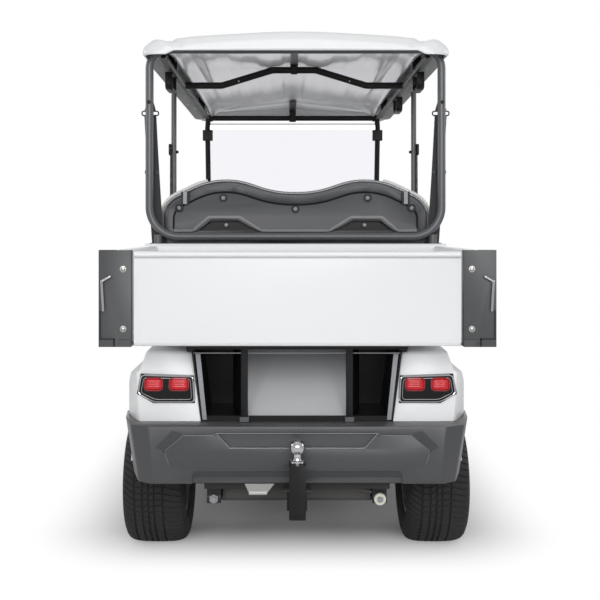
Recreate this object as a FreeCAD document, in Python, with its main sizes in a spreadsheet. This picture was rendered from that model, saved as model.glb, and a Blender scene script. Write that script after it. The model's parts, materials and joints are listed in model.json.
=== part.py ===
import FreeCAD, Part
import math
import os

import Sketcher
from FreeCAD import Placement, Rotation, Vector

os.makedirs("parts", exist_ok=True)

# A four-passenger golf cart with a small cargo box on its tail, in millimetres.
# X points to the cart's right, Y forward and Z up, and the floor is at Z = 0.
# Every sub-part is drawn with the rear axle at Y = 0, and its Placement then moves
# it back so that the origin lies under the middle of the whole cart.

doc = FreeCAD.newDocument("golf_cart")
sheet = doc.addObject("Spreadsheet::Sheet", "Sizes")


# Sizes that carry their own sheet expression

class Length:
    """A size in millimetres together with the sheet expression that gives it."""

    def __init__(self, number, text):
        self.number = float(number)
        self.text = text

    def __float__(self):
        return self.number

    def __neg__(self):
        return Length(-self.number, "(-%s)" % self.text)

    def __add__(self, other):
        other = as_length(other)
        return Length(self.number + other.number, "(%s + %s)" % (self.text, other.text))

    def __radd__(self, other):
        return as_length(other) + self

    def __sub__(self, other):
        return self + (-as_length(other))

    def __rsub__(self, other):
        return as_length(other) - self

    def __mul__(self, factor):
        factor = as_length(factor)
        return Length(self.number * factor.number, "(%s * %s)" % (self.text, factor.text))

    def __rmul__(self, factor):
        return self * factor

    def __truediv__(self, divisor):
        divisor = as_length(divisor)
        return Length(self.number / divisor.number, "(%s / %s)" % (self.text, divisor.text))


def as_length(value):
    """Take a plain number as a length, and leave a length as it is."""
    if isinstance(value, Length):
        return value
    return Length(value, repr(value))


nothing = Length(0, "0")


class SizeGroup:
    """The named sizes of one region of the cart, kept as cells of the sheet."""

    rows = 0

    def __init__(self, **values):
        for alias, value in values.items():
            SizeGroup.rows += 1
            cell = "B%d" % SizeGroup.rows
            sheet.set("A%d" % SizeGroup.rows, alias)
            sheet.set(cell, str(value))
            sheet.setAlias(cell, alias)
            setattr(self, alias, Length(value, "Sizes." + alias))


# Building blocks

PLANES = {"top": "XY_Plane", "rear": "XZ_Plane", "side": "YZ_Plane"}
AXES = {
    "x": Rotation(Vector(0, 1, 0), 90),
    "y": Rotation(Vector(1, 0, 0), -90),
    "z": Rotation(),
}


def bind(thing, prop, value):
    """Tie one property of a document object to the sheet."""
    thing.setExpression(prop, as_length(value).text)


def new_body(name):
    return doc.addObject("PartDesign::Body", name)


def origin_feature(body, role):
    """The origin plane or axis of a body that plays the given role."""
    return next(item for item in body.Origin.OriginFeatures if item.Role == role)


def corner_tangents(before, corner, after, radius):
    """Where a round of this radius leaves the two sides of a corner, and its centre."""
    back = (before - corner).normalize()
    ahead = (after - corner).normalize()
    half_turn = (math.pi - back.getAngle(ahead)) / 2
    reach = radius * math.tan(half_turn)
    middle = (back + ahead).normalize()
    centre = corner + middle * (radius / math.cos(half_turn))
    return corner + back * reach, corner + ahead * reach, centre


def outline_sketch(body, view, corners, level=0):
    """A closed outline through corners (a, b) or, for a rounded one, (a, b, radius).

    view names the side that the outline is drawn from, and level is how far the
    sketch lies from the origin along +Z, +Y or +X. Each corner is dimensioned from
    the origin and bound to the sheet.
    """
    sketch = body.newObject("Sketcher::SketchObject", "outline")
    sketch.AttachmentSupport = [(origin_feature(body, PLANES[view]), "")]
    sketch.MapMode = "FlatFace"
    level = as_length(level)
    bind(sketch, "AttachmentOffset.Base.z", -level if view == "rear" else level)

    count = len(corners)
    spots = [Vector(float(corner[0]), float(corner[1]), 0) for corner in corners]
    leave, arrive, rounds = {}, {}, {}
    for index, corner in enumerate(corners):
        before, here, after = spots[index - 1], spots[index], spots[(index + 1) % count]
        leave[index] = arrive[index] = here
        if len(corner) > 2:
            arrive[index], leave[index], centre = corner_tangents(
                before, here, after, float(corner[2]))
            start, end = arrive[index] - centre, leave[index] - centre
            first = math.atan2(start.y, start.x)
            last = math.atan2(end.y, end.x)
            turns_left = start.cross(end).z > 0
            if not turns_left:
                first, last = last, first
            circle = Part.Circle(centre, Vector(0, 0, 1), float(corner[2]))
            rounds[index] = (circle, first, last, turns_left)

    lines = {}
    for index in range(count):
        line = Part.LineSegment(leave[index], arrive[(index + 1) % count])
        lines[index] = sketch.addGeometry(line, False)
    for index, corner in enumerate(corners):
        into, out = lines[(index - 1) % count], lines[index]
        if index in rounds:
            circle, first, last, turns_left = rounds[index]
            arc = sketch.addGeometry(Part.ArcOfCircle(circle, first, last), False)
            spot = sketch.addGeometry(Part.Point(spots[index]), True)
            near, far = (1, 2) if turns_left else (2, 1)
            sketch.addConstraint(Sketcher.Constraint("Tangent", into, 2, arc, near))
            sketch.addConstraint(Sketcher.Constraint("Tangent", arc, far, out, 1))
            sketch.addConstraint(Sketcher.Constraint("PointOnObject", spot, 1, into))
            sketch.addConstraint(Sketcher.Constraint("PointOnObject", spot, 1, out))
            radius = sketch.addConstraint(
                Sketcher.Constraint("Radius", arc, float(corner[2])))
            bind(sketch, "Constraints[%d]" % radius, corner[2])
            held = spot
        else:
            sketch.addConstraint(Sketcher.Constraint("Coincident", into, 2, out, 1))
            held = out
        for kind, value in (("DistanceX", corner[0]), ("DistanceY", corner[1])):
            number = float(value)
            if number == 0.0:
                axis = -2 if kind == "DistanceX" else -1
                sketch.addConstraint(Sketcher.Constraint("PointOnObject", held, 1, axis))
                continue
            where = sketch.addConstraint(
                Sketcher.Constraint(kind, -1, 1, held, 1, number))
            bind(sketch, "Constraints[%d]" % where, value)
    return sketch


def pad(body, view, corners, start, end):
    """Extrude an outline from start to end along the axis that its view looks down."""
    feature = body.newObject("PartDesign::Pad", "pad")
    feature.Profile = outline_sketch(body, view, corners, start)
    feature.Reversed = view == "rear"
    bind(feature, "Length", end - start)
    return feature


def pocket(body, view, corners, start, end):
    """Cut an outline out of a body from start to end along the view's axis."""
    feature = body.newObject("PartDesign::Pocket", "pocket")
    feature.Profile = outline_sketch(body, view, corners, start)
    feature.Reversed = view != "rear"
    bind(feature, "Length", end - start)
    return feature


def revolve(body, corners):
    """Turn a profile of (along X, radius) points about the body's own X axis."""
    feature = body.newObject("PartDesign::Revolution", "revolution")
    feature.Profile = outline_sketch(body, "top", corners)
    feature.ReferenceAxis = (origin_feature(body, "X_Axis"), [""])
    feature.Angle = 360
    return feature


def repeat_round(body, feature, copies):
    """Repeat a feature in a ring about the body's X axis."""
    pattern = body.newObject("PartDesign::PolarPattern", "ring")
    pattern.Originals = [feature]
    pattern.Axis = (origin_feature(body, "X_Axis"), [""])
    pattern.Angle = 360
    pattern.Occurrences = copies
    body.Tip = pattern


def round_edges(body, radius, wanted):
    """Fillet the edges of the body's tip for which wanted(edge) is true."""
    doc.recompute()
    base = body.Tip
    names = ["Edge%d" % (index + 1) for index, edge in enumerate(base.Shape.Edges)
             if wanted(edge)]
    feature = body.newObject("PartDesign::Fillet", "fillet")
    feature.Base = (base, names)
    bind(feature, "Radius", radius)


def slab(name, view, corners, start, end):
    """A body of one padded outline."""
    body = new_body(name)
    pad(body, view, corners, start, end)
    return body


def loft(name, view, stations):
    """A body with ruled sides through outlines, given as (level, corners) in order."""
    body = new_body(name)
    sketches = [outline_sketch(body, view, corners, level) for level, corners in stations]
    feature = body.newObject("PartDesign::AdditiveLoft", "loft")
    feature.Profile = sketches[0]
    feature.Sections = sketches[1:]
    feature.Ruled = True
    return body


def box(name, x_span, y_span, z_span):
    """A block between two corners, given as (low, high) along each axis."""
    block = doc.addObject("Part::Box", name)
    for prop, axis, (low, high) in (("Length", "x", x_span), ("Width", "y", y_span),
                                    ("Height", "z", z_span)):
        bind(block, prop, high - low)
        bind(block, "Placement.Base." + axis, low)
    return block


def rod(name, axis, radius, start, length):
    """A round bar that runs from start along one axis."""
    bar = doc.addObject("Part::Cylinder", name)
    bar.Placement = Placement(Vector(), AXES[axis])
    bind(bar, "Radius", radius)
    bind(bar, "Height", length)
    for letter, value in zip("xyz", start):
        bind(bar, "Placement.Base." + letter, value)
    return bar


def join(name, pieces):
    fusion = doc.addObject("Part::MultiFuse", name)
    fusion.Shapes = pieces
    fusion.Refine = True
    return fusion


def carve(name, base, tools):
    """Cut tools out of a base."""
    cut = doc.addObject("Part::Cut", name)
    cut.Base = base
    cut.Tool = tools[0] if len(tools) == 1 else join(name + "_tools", tools)
    cut.Refine = True
    return cut


def overlap(name, pieces):
    """What several solids have in common."""
    common = doc.addObject("Part::MultiCommon", name)
    common.Shapes = pieces
    common.Refine = True
    return common


def group(name, pieces):
    """Several solids that don't touch, kept as one sub-part."""
    compound = doc.addObject("Part::Compound", name)
    compound.Links = pieces
    return compound


def mirrored(piece):
    """The same piece on the cart's other side."""
    copy = doc.addObject("Part::Mirroring", piece.Name + "_mirror")
    copy.Source = piece
    copy.Normal = Vector(1, 0, 0)
    return copy


def pair(name, piece):
    """A piece and its mirror image as one sub-part."""
    return group(name, [piece, mirrored(piece)])


def both_sides(corners):
    """Complete a symmetric outline from its right half, listed from bottom to top."""
    left = [(-corner[0],) + tuple(corner[1:]) for corner in reversed(corners)
            if float(corner[0]) != 0.0]
    return list(corners) + left


def computed(name, shape):
    """A sub-part whose shape comes straight from Part's own functions."""
    piece = doc.addObject("Part::Feature", name)
    piece.Shape = shape
    return piece


def spot(across, along, up):
    """A point of a tube's path from three sizes."""
    return Vector(float(across), float(along), float(up))


def bent_path(points, bends):
    """Straight runs joined by tangent arcs, with one radius for each corner."""
    edges = []
    last = points[0]
    for before, corner, after, bend in zip(points, points[1:], points[2:], bends):
        start, end, centre = corner_tangents(before, corner, after, bend)
        middle = centre + (corner - centre).normalize() * bend
        if (start - last).Length > 1e-6:
            edges.append(Part.LineSegment(last, start).toShape())
        edges.append(Part.Arc(start, middle, end).toShape())
        last = end
    if (points[-1] - last).Length > 1e-6:
        edges.append(Part.LineSegment(last, points[-1]).toShape())
    return Part.Wire(edges)


def tube(name, points, radius, *bends):
    """A round bar bent along a route, with one radius for all corners or one for each."""
    if len(bends) == 1:
        bends = bends * len(points)
    path = bent_path(points, [float(bend) for bend in bends])
    section = Part.Wire(Part.makeCircle(float(radius), points[0], points[1] - points[0]))
    return computed(name, path.makePipeShell([section], True, False))


def strap(name, points, width, thickness, across, bend):
    """A flat band bent along a route, its width lying along the direction across."""
    path = bent_path(points, [float(bend)] * len(points))
    run = (points[1] - points[0]).normalize()
    normal = run.cross(across).normalize()
    wide = across * (float(width) / 2)
    thick = normal * (float(thickness) / 2)
    ring = [points[0] + wide + thick, points[0] - wide + thick,
            points[0] - wide - thick, points[0] + wide - thick]
    section = Part.makePolygon(ring + ring[:1])
    return computed(name, path.makePipeShell([section], True, False))


# Driving sizes of the whole cart

cart = SizeGroup(
    wheelbase=2330,
    front_overhang=450,
    rear_track=974,
    front_track=900,
    body_half_width=560,
    body_wall=6,
    floor_top=345,
    seat_gap=0.3,
    front_bumper_depth=75,
)

wheel = SizeGroup(
    tyre_diameter=457,
    tyre_width=216,
    tyre_shoulder=26,
    sidewall_round=24,
    rim_diameter=254,
    rim_width=178,
    rim_wall=8,
    flange_height=10,
    flange_thickness=5,
    disc_offset=26,
    disc_thickness=8,
    hub_diameter=90,
    hub_nose=14,
    drum_diameter=160,
    drum_wall=8,
    drum_depth=36,
    spindle_diameter=32,
    bearing_gap=0.3,
    window_count=7,
    window_width=34,
    drum_gap=5,
)
axle_height = wheel.tyre_diameter / 2

tail = SizeGroup(
    box_rear=580,
    end_plate_sheet=3,
    latch_rod_diameter=8,
    latch_rod_standoff=6,
)
rear_reach = (tail.box_rear + tail.end_plate_sheet + tail.latch_rod_standoff
              + tail.latch_rod_diameter)
rear_axle_place = -(cart.wheelbase + cart.front_overhang - rear_reach) / 2

SUB_PARTS = []


def below(height, inset):
    """The open lower edge of a hull, always under the edge of the hull itself."""
    return height - inset if float(inset) >= 0 else height + inset


def sub_part(label, piece, along=0, across=0, up=0):
    """Name a finished sub-part and place it on the cart."""
    piece.Label = label
    bind(piece, "Placement.Base.x", across)
    bind(piece, "Placement.Base.y", rear_axle_place + along)
    bind(piece, "Placement.Base.z", up)
    SUB_PARTS.append(piece)
    return piece


# Wheels: tyres, rims and their hubs

def make_tyre():
    """A low street tyre: flat tread, round shoulders and a bulging sidewall."""
    bead = wheel.rim_width / 2 - wheel.flange_thickness
    seat = wheel.rim_diameter / 2
    side = wheel.tyre_width / 2
    crown = wheel.tyre_diameter / 2
    right = [
        (bead, seat),
        (bead, seat + wheel.flange_height),
        (side, seat + wheel.flange_height + wheel.sidewall_round, wheel.sidewall_round),
        (side, crown - wheel.tyre_shoulder, wheel.sidewall_round),
        (side - wheel.tyre_shoulder, crown),
    ]
    body = new_body("tyre")
    revolve(body, both_sides(right))
    return body


def make_rim():
    """A cast wheel: barrel, windowed disc, hub and brake drum turned as one."""
    edge = wheel.rim_width / 2
    well = edge - wheel.flange_thickness
    seat = wheel.rim_diameter / 2
    lip = seat + wheel.flange_height
    bore = seat - wheel.rim_wall
    disc_in = wheel.disc_offset
    disc_out = wheel.disc_offset + wheel.disc_thickness
    nose = disc_out + wheel.hub_nose
    hub = wheel.hub_diameter / 2
    shaft = wheel.spindle_diameter / 2 + wheel.bearing_gap
    drum = wheel.drum_diameter / 2
    drum_in = drum - wheel.drum_wall
    web = -wheel.drum_wall / 2
    web_back = web - wheel.drum_wall
    profile = [
        (-edge, lip), (-well, lip), (-well, seat), (well, seat), (well, lip), (edge, lip),
        (edge, bore), (disc_out, bore), (disc_out, hub), (nose, hub), (nose, 0),
        (nose - wheel.disc_thickness, 0), (nose - wheel.disc_thickness, shaft),
        (web_back, shaft), (web_back, drum_in), (-wheel.drum_depth, drum_in),
        (-wheel.drum_depth, drum), (web, drum), (web, hub), (disc_in, hub),
        (disc_in, bore), (-edge, bore),
    ]
    body = new_body("rim")
    revolve(body, profile)
    doc.recompute()
    inner = hub + wheel.rim_wall
    outer = bore - wheel.rim_wall
    half = wheel.window_width / 2
    window = [(-half / 2, inner), (half / 2, inner), (half, outer), (-half, outer)]
    hole = pocket(body, "side", window, disc_in - wheel.rim_wall, nose)
    repeat_round(body, hole, int(float(wheel.window_count)))
    return body


for label, across, along in (
        ("rear_left", -cart.rear_track / 2, 0),
        ("rear_right", cart.rear_track / 2, 0),
        ("front_left", -cart.front_track / 2, cart.wheelbase),
        ("front_right", cart.front_track / 2, cart.wheelbase)):
    for kind, maker in (("tyre", make_tyre), ("rim", make_rim)):
        piece = maker()
        if label.endswith("left"):
            piece.Placement = Placement(Vector(), Rotation(Vector(0, 0, 1), 180))
        sub_part("%s_%s" % (kind, label), piece, along, across, axle_height)


# Chassis frame

frame = SizeGroup(
    rail_width=50,
    rail_middle_low=255,
    rail_middle_high=335,
    rail_rear_low=300,
    rail_rear_high=360,
    rail_rear_end=430,
    rail_kick_start=380,
    rail_kick_end=470,
    rear_rail_centre=268,
    rear_rail_front=1960,
    front_rail_centre=185,
    front_rail_rear=1860,
    front_kick_start=1992,
    rail_slot_margin=4,
    front_rail_low=310,
    crossmember_length=60,
    crossmember_middle=1080,
)


front_rail_front = cart.wheelbase + cart.front_overhang - cart.front_bumper_depth - cart.seat_gap


def make_frame():
    """A ladder frame of box rails that rise over both axles."""
    half = frame.rail_width / 2
    rear = slab("rear_rail", "side", [
        (-frame.rail_rear_end, frame.rail_rear_low),
        (frame.rail_kick_start, frame.rail_rear_low),
        (frame.rail_kick_end, frame.rail_middle_low),
        (frame.rear_rail_front, frame.rail_middle_low),
        (frame.rear_rail_front, frame.rail_middle_high),
        (frame.rail_kick_end, frame.rail_middle_high),
        (frame.rail_kick_start, frame.rail_rear_high),
        (-frame.rail_rear_end, frame.rail_rear_high),
    ], frame.rear_rail_centre - half, frame.rear_rail_centre + half)
    front = slab("front_rail", "side", [
        (frame.front_rail_rear, frame.rail_middle_low),
        (frame.front_kick_start, frame.rail_middle_low),
        (frame.front_kick_start + frame.crossmember_length, frame.front_rail_low),
        (front_rail_front, frame.front_rail_low),
        (front_rail_front, frame.rail_rear_high),
        (frame.front_kick_start + frame.crossmember_length, frame.rail_rear_high),
        (frame.front_kick_start, frame.rail_middle_high),
        (frame.front_rail_rear, frame.rail_middle_high),
    ], frame.front_rail_centre - half, frame.front_rail_centre + half)
    pieces = [rear, mirrored(rear), front, mirrored(front)]
    reach = frame.rear_rail_centre + half
    tip = frame.front_rail_centre + half
    for start, half_span, low, high in (
            (-frame.rail_rear_end, reach, frame.rail_rear_low, frame.rail_rear_high),
            (frame.rail_kick_end, reach, frame.rail_middle_low, frame.rail_middle_high),
            (frame.crossmember_middle, reach, frame.rail_middle_low, frame.rail_middle_high),
            (frame.front_rail_rear, reach, frame.rail_middle_low, frame.rail_middle_high),
            (front_rail_front - frame.crossmember_length, tip,
             frame.front_rail_low, frame.rail_rear_high)):
        pieces.append(box("crossmember", (-half_span, half_span),
                          (start, start + frame.crossmember_length), (low, high)))
    return join("chassis_frame", pieces)


sub_part("chassis_frame", make_frame())


# Rear axle, motor, springs and shock absorbers

drive = SizeGroup(
    axle_tube_diameter=60,
    gearcase_diameter=150,
    gearcase_width=110,
    backing_plate_thickness=4,
    motor_diameter=180,
    motor_length=180,
    motor_along=150,
    motor_drop=10,
)


def make_rear_axle():
    """Tubes, gear case and spindles, with a backing plate behind each brake drum."""
    centre = cart.rear_track / 2
    drum_edge = centre - wheel.drum_depth - wheel.drum_gap
    plate = drive.backing_plate_thickness
    spindle_end = (centre + wheel.disc_offset + wheel.hub_nose - wheel.drum_gap)
    tubes = rod("axle_tube", "x", drive.axle_tube_diameter / 2,
                (-drum_edge, 0, axle_height), drum_edge * 2)
    spindles = rod("spindles", "x", wheel.spindle_diameter / 2,
                   (-spindle_end, 0, axle_height), spindle_end * 2)
    case = rod("gear_case", "x", drive.gearcase_diameter / 2,
               (-drive.gearcase_width / 2, 0, axle_height), drive.gearcase_width)
    motor_height = axle_height + drive.motor_drop
    neck = box("gear_neck", (-drive.gearcase_width / 2, drive.gearcase_width / 2),
               (0, drive.motor_along),
               (motor_height - drive.gearcase_diameter / 3,
                motor_height + drive.gearcase_diameter / 3))
    pieces = [tubes, spindles, case, neck]
    for side in (-1, 1):
        edge = drum_edge if side > 0 else -drum_edge + plate
        pieces.append(rod("backing_plate", "x", wheel.drum_diameter / 2,
                          (edge - plate, 0, axle_height), plate))
    shock_side = spring.shock_across + spring.shock_eye_width / 2 + cart.seat_gap
    lug = box("shock_lug", (shock_side, shock_side + spring.lug_sheet),
              (-spring.shock_along - spring.shock_eye, 0),
              (axle_height - spring.shock_eye * 2, axle_height))
    pieces += [lug, mirrored(lug)]
    return join("rear_axle", pieces)


spring = SizeGroup(
    rear_spring_half_length=350,
    rear_eye_height=251,
    front_spring_half_length=250,
    front_eye_height=284,
    leaf_thickness=9,
    leaf_width=45,
    eye_diameter=38,
    short_leaf_share=0.6,
    shock_across=222,
    shock_along=75,
    shock_eye=14,
    shock_eye_width=24,
    shock_body_diameter=36,
    shock_top=345,
    lug_sheet=5,
    shock_pin_diameter=12,
    axle_beam_size=50,
    kingpin_half_spacing=320,
    kingpin_diameter=18,
    kingpin_gap=0.3,
    yoke_clear=34,
    yoke_lug=20,
    yoke_diameter=46,
    knuckle_width=40,
    arm_back=110,
    arm_thickness=14,
    arm_width=24,
    arm_eye=32,
    tie_rod_diameter=18,
    tie_pin_diameter=12,
    tie_rod_drop=56,
    tie_rod_gap=1,
    tie_eye_height=24,
)


def leaf_pack(name, centre, half_length, eye_height, low):
    """A bowed pack of two leaves, with a rolled eye at each end of the main one."""
    thick = float(spring.leaf_thickness)
    middle = float(centre)
    reach = float(half_length)
    eye = float(spring.eye_diameter) / 2
    floor = float(low)
    ends = float(eye_height) - thick / 2
    shapes = []
    for level, share in ((1, 1.0), (0, float(spring.short_leaf_share))):
        base = floor + level * thick
        rise = (ends - floor - thick) * share ** 2
        bottom = Part.Arc(Vector(0, middle - reach * share, base + rise),
                          Vector(0, middle, base),
                          Vector(0, middle + reach * share, base + rise)).toShape()
        top = bottom.copy()
        top.translate(Vector(0, 0, thick))
        first, last = bottom.Vertexes[0].Point, bottom.Vertexes[-1].Point
        up = Vector(0, 0, thick)
        wire = Part.Wire([bottom, Part.LineSegment(last, last + up).toShape(), top,
                          Part.LineSegment(first + up, first).toShape()])
        shapes.append(Part.Face(wire).extrude(Vector(float(spring.leaf_width), 0, 0)))
    for direction in (-1, 1):
        shapes.append(Part.makeCylinder(eye, float(spring.leaf_width),
                                        Vector(0, middle + direction * reach, float(eye_height)),
                                        Vector(1, 0, 0)))
    pack = shapes[0].multiFuse(shapes[1:]).removeSplitter()
    return computed(name, pack)


def make_leaf_springs():
    """Four leaf packs on the rails' lines, hung from the rails by shackles."""
    pieces = []
    half = spring.leaf_width / 2
    for centre, rail, half_length, eye_height, low, rail_low in (
            (nothing, frame.rear_rail_centre, spring.rear_spring_half_length,
             spring.rear_eye_height,
             axle_height - drive.axle_tube_diameter / 2 - spring.leaf_thickness * 2,
             frame.rail_rear_low),
            (cart.wheelbase, frame.front_rail_centre, spring.front_spring_half_length,
             spring.front_eye_height, axle_height + spring.axle_beam_size / 2,
             frame.front_rail_low)):
        pack = leaf_pack("leaf_pack", centre, half_length, eye_height, low)
        pack.Placement = Placement(Vector(float(rail - half), 0, 0), Rotation())
        shackles = []
        for end in (centre - half_length, centre + half_length):
            plate = box("shackle", (rail - half, rail + half),
                        (end - spring.eye_diameter / 4, end + spring.eye_diameter / 4),
                        (eye_height, rail_low))
            shackles.append(plate)
        whole = join("hung_spring", [pack] + shackles)
        pieces += [whole, mirrored(whole)]
    return group("leaf_springs", pieces)


def make_shocks():
    """Two upright dampers with an eye at each end, pinned to axle and rail."""
    low = axle_height - spring.shock_eye
    along = -spring.shock_along
    across = spring.shock_across
    eye_start = across - spring.shock_eye_width / 2
    rail_face = frame.rear_rail_centre - frame.rail_width / 2
    pieces = [
        rod("shock_lower_eye", "x", spring.shock_eye, (eye_start, along, low),
            spring.shock_eye_width),
        rod("shock_upper_eye", "x", spring.shock_eye, (eye_start, along, spring.shock_top),
            spring.shock_eye_width),
        rod("shock_rod", "z", spring.shock_pin_diameter / 2, (across, along, low),
            spring.shock_top - low),
        rod("shock_body", "z", spring.shock_body_diameter / 2,
            (across, along, low + spring.shock_eye * 2), (spring.shock_top - low) / 2),
        rod("shock_pin", "x", spring.shock_pin_diameter / 2,
            (across, along, spring.shock_top), rail_face - across),
    ]
    return pair("shock_absorbers", join("shock_absorber", pieces))


sub_part("rear_axle", make_rear_axle())
sub_part("leaf_springs", make_leaf_springs())
sub_part("shock_absorbers", make_shocks())
sub_part("drive_motor", group("drive_motor", [
    rod("motor", "x", drive.motor_diameter / 2,
        (drive.gearcase_width / 2, drive.motor_along, axle_height + drive.motor_drop),
        drive.motor_length)]))


# Front axle and steering

def make_front_axle():
    """A square beam whose ends fork above and below each steering knuckle."""
    half = spring.axle_beam_size / 2
    kingpin = spring.kingpin_half_spacing
    inner = kingpin - spring.yoke_diameter
    beam = box("beam", (-inner, inner), (cart.wheelbase - half, cart.wheelbase + half),
               (axle_height - half, axle_height + half))
    outer_height = spring.yoke_clear + spring.yoke_lug
    post = box("fork_post", (inner - spring.yoke_lug, inner),
               (cart.wheelbase - half, cart.wheelbase + half),
               (axle_height - outer_height, axle_height + outer_height))
    halves = [post]
    for low in (spring.yoke_clear, -outer_height):
        arm = box("fork_arm", (inner - spring.yoke_lug, kingpin),
                  (cart.wheelbase - spring.yoke_diameter / 2,
                   cart.wheelbase + spring.yoke_diameter / 2),
                  (axle_height + low, axle_height + low + spring.yoke_lug))
        end = rod("fork_end", "z", spring.yoke_diameter / 2,
                  (kingpin, cart.wheelbase, axle_height + low), spring.yoke_lug)
        halves += [arm, end]
    fork = join("fork", halves)
    bore = rod("kingpin_bore", "z", spring.kingpin_diameter / 2 + spring.kingpin_gap,
               (kingpin, cart.wheelbase, axle_height - outer_height * 2), outer_height * 4)
    fork = carve("bored_fork", fork, [bore])
    return join("front_axle", [beam, fork, mirrored(fork)])


def make_knuckle(side):
    """Block, kingpin, spindle and trailing steering arm of one front wheel."""
    kingpin = spring.kingpin_half_spacing * side
    block = box("knuckle_block",
                (kingpin - spring.knuckle_width / 2, kingpin + spring.knuckle_width / 2),
                (cart.wheelbase - spring.knuckle_width / 2,
                 cart.wheelbase + spring.knuckle_width / 2),
                (axle_height - spring.yoke_clear + spring.tie_rod_gap,
                 axle_height + spring.yoke_clear - spring.tie_rod_gap))
    pin_height = spring.yoke_clear + spring.yoke_lug
    pin = rod("kingpin", "z", spring.kingpin_diameter / 2,
              (kingpin, cart.wheelbase, axle_height - pin_height), pin_height * 2)
    reach = (cart.front_track / 2 + wheel.disc_offset + wheel.hub_nose - wheel.drum_gap
             - spring.kingpin_half_spacing)
    start = kingpin if side > 0 else kingpin - reach
    spindle = rod("spindle", "x", wheel.spindle_diameter / 2,
                  (start, cart.wheelbase, axle_height), reach)
    level = axle_height - spring.yoke_clear + spring.tie_rod_gap
    eye_y = cart.wheelbase - spring.arm_back
    half = spring.arm_width / 2
    arm = box("steering_arm", (kingpin - half, kingpin + half), (eye_y, cart.wheelbase),
              (level, level + spring.arm_thickness))
    eye = rod("arm_eye", "z", spring.arm_eye / 2, (kingpin, eye_y, level),
              spring.arm_thickness)
    ball = rod("tie_pin", "z", spring.tie_pin_diameter / 2,
               (kingpin, eye_y, axle_height - spring.tie_rod_drop - spring.tie_eye_height / 2),
               level - axle_height + spring.tie_rod_drop + spring.tie_eye_height / 2)
    return join("knuckle", [block, pin, spindle, arm, eye, ball])


def make_tie_rod():
    """The bar that joins both steering arms, with an eye round each pin."""
    reach = spring.kingpin_half_spacing
    along = cart.wheelbase - spring.arm_back
    level = axle_height - spring.tie_rod_drop
    bar = rod("tie_bar", "x", spring.tie_rod_diameter / 2, (-reach, along, level), reach * 2)
    pieces = [bar]
    bores = []
    for end in (-reach, reach):
        pieces.append(rod("tie_eye", "z", spring.arm_eye / 2,
                          (end, along, level - spring.tie_eye_height / 2),
                          spring.tie_eye_height))
        bores.append(rod("tie_bore", "z", spring.tie_pin_diameter / 2 + spring.kingpin_gap,
                         (end, along, level - spring.tie_rod_diameter),
                         spring.tie_rod_diameter * 2))
    return carve("tie_rod", join("tie_rod_bar", pieces), bores)


sub_part("front_axle", make_front_axle())
sub_part("knuckle_left", make_knuckle(-1))
sub_part("knuckle_right", make_knuckle(1))
sub_part("tie_rod", make_tie_rod())

helm = SizeGroup(
    helm_across=270,
    helm_along=1900,
    helm_height=985,
    helm_tilt=35,
    helm_ring_diameter=340,
    helm_grip_diameter=24,
    helm_hub_diameter=90,
    helm_hub_depth=36,
    helm_socket_floor=18,
    helm_shaft_gap=3.6,
    helm_spoke_width=34,
    helm_spoke_depth=10,
    column_diameter=44,
    shaft_diameter=20,
    column_length=520,
    column_gap=5,
)


def place_on_column(piece):
    """Lean a piece that was drawn upright so that its axis follows the column."""
    piece.Placement = Placement(Vector(), Rotation(Vector(1, 0, 0), float(helm.helm_tilt)))
    bind(piece, "Placement.Rotation.Angle", helm.helm_tilt)


def make_steering_wheel():
    """A round grip on three spokes and a dished hub."""
    ring = doc.addObject("Part::Torus", "grip")
    bind(ring, "Radius1", helm.helm_ring_diameter / 2 - helm.helm_grip_diameter / 2)
    bind(ring, "Radius2", helm.helm_grip_diameter / 2)
    hub = rod("helm_hub", "z", helm.helm_hub_diameter / 2,
              (0, 0, -helm.helm_hub_depth), helm.helm_hub_depth)
    pieces = [ring, hub]
    half = helm.helm_spoke_width / 2
    reach = helm.helm_ring_diameter / 2 - helm.helm_grip_diameter / 2
    pieces.append(box("cross_spoke", (-reach, reach), (-half, half),
                      (-helm.helm_spoke_depth, nothing)))
    pieces.append(box("lower_spoke", (-half, half), (-reach, nothing),
                      (-helm.helm_spoke_depth, nothing)))
    bore = rod("helm_bore", "z", helm.shaft_diameter / 2 + wheel.bearing_gap,
               (0, 0, -helm.helm_hub_depth * 2),
               helm.helm_hub_depth * 2 - helm.helm_socket_floor)
    return carve("steering_wheel", join("helm_solid", pieces), [bore])


helm_piece = make_steering_wheel()
place_on_column(helm_piece)
sub_part("steering_wheel", helm_piece, helm.helm_along, -helm.helm_across, helm.helm_height)


# Floor, sills and front seat base

cabin = SizeGroup(
    floor_sheet=10,
    floor_half_width=548,
    floor_rear=645,
    toe_start=1985,
    toe_top_along=2200,
    toe_top=700,
    sill_low=250,
    sill_width=30,
    sill_rear=280,
    sill_front=2025,
    sill_round=12,
    seat_base_rear=1085,
    seat_base_front=1560,
    seat_base_half_width=515,
    seat_base_top=640,
    seat_base_lean=30,
    seat_base_round=40,
    battery_half_width=330,
    battery_clear=30,
    battery_height=250,
)


def make_floor():
    """A flat floor that rises as a toe board in front of the driver's feet."""
    sheet_up = cabin.floor_sheet
    low = cart.floor_top - sheet_up
    body = slab("floor", "side", [
        (cabin.floor_rear, low),
        (cabin.toe_start + sheet_up / 2, low),
        (cabin.toe_top_along + sheet_up, cabin.toe_top),
        (cabin.toe_top_along, cabin.toe_top),
        (cabin.toe_start, cart.floor_top),
        (cabin.floor_rear, cart.floor_top),
    ], -cabin.floor_half_width, cabin.floor_half_width)
    return body


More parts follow.
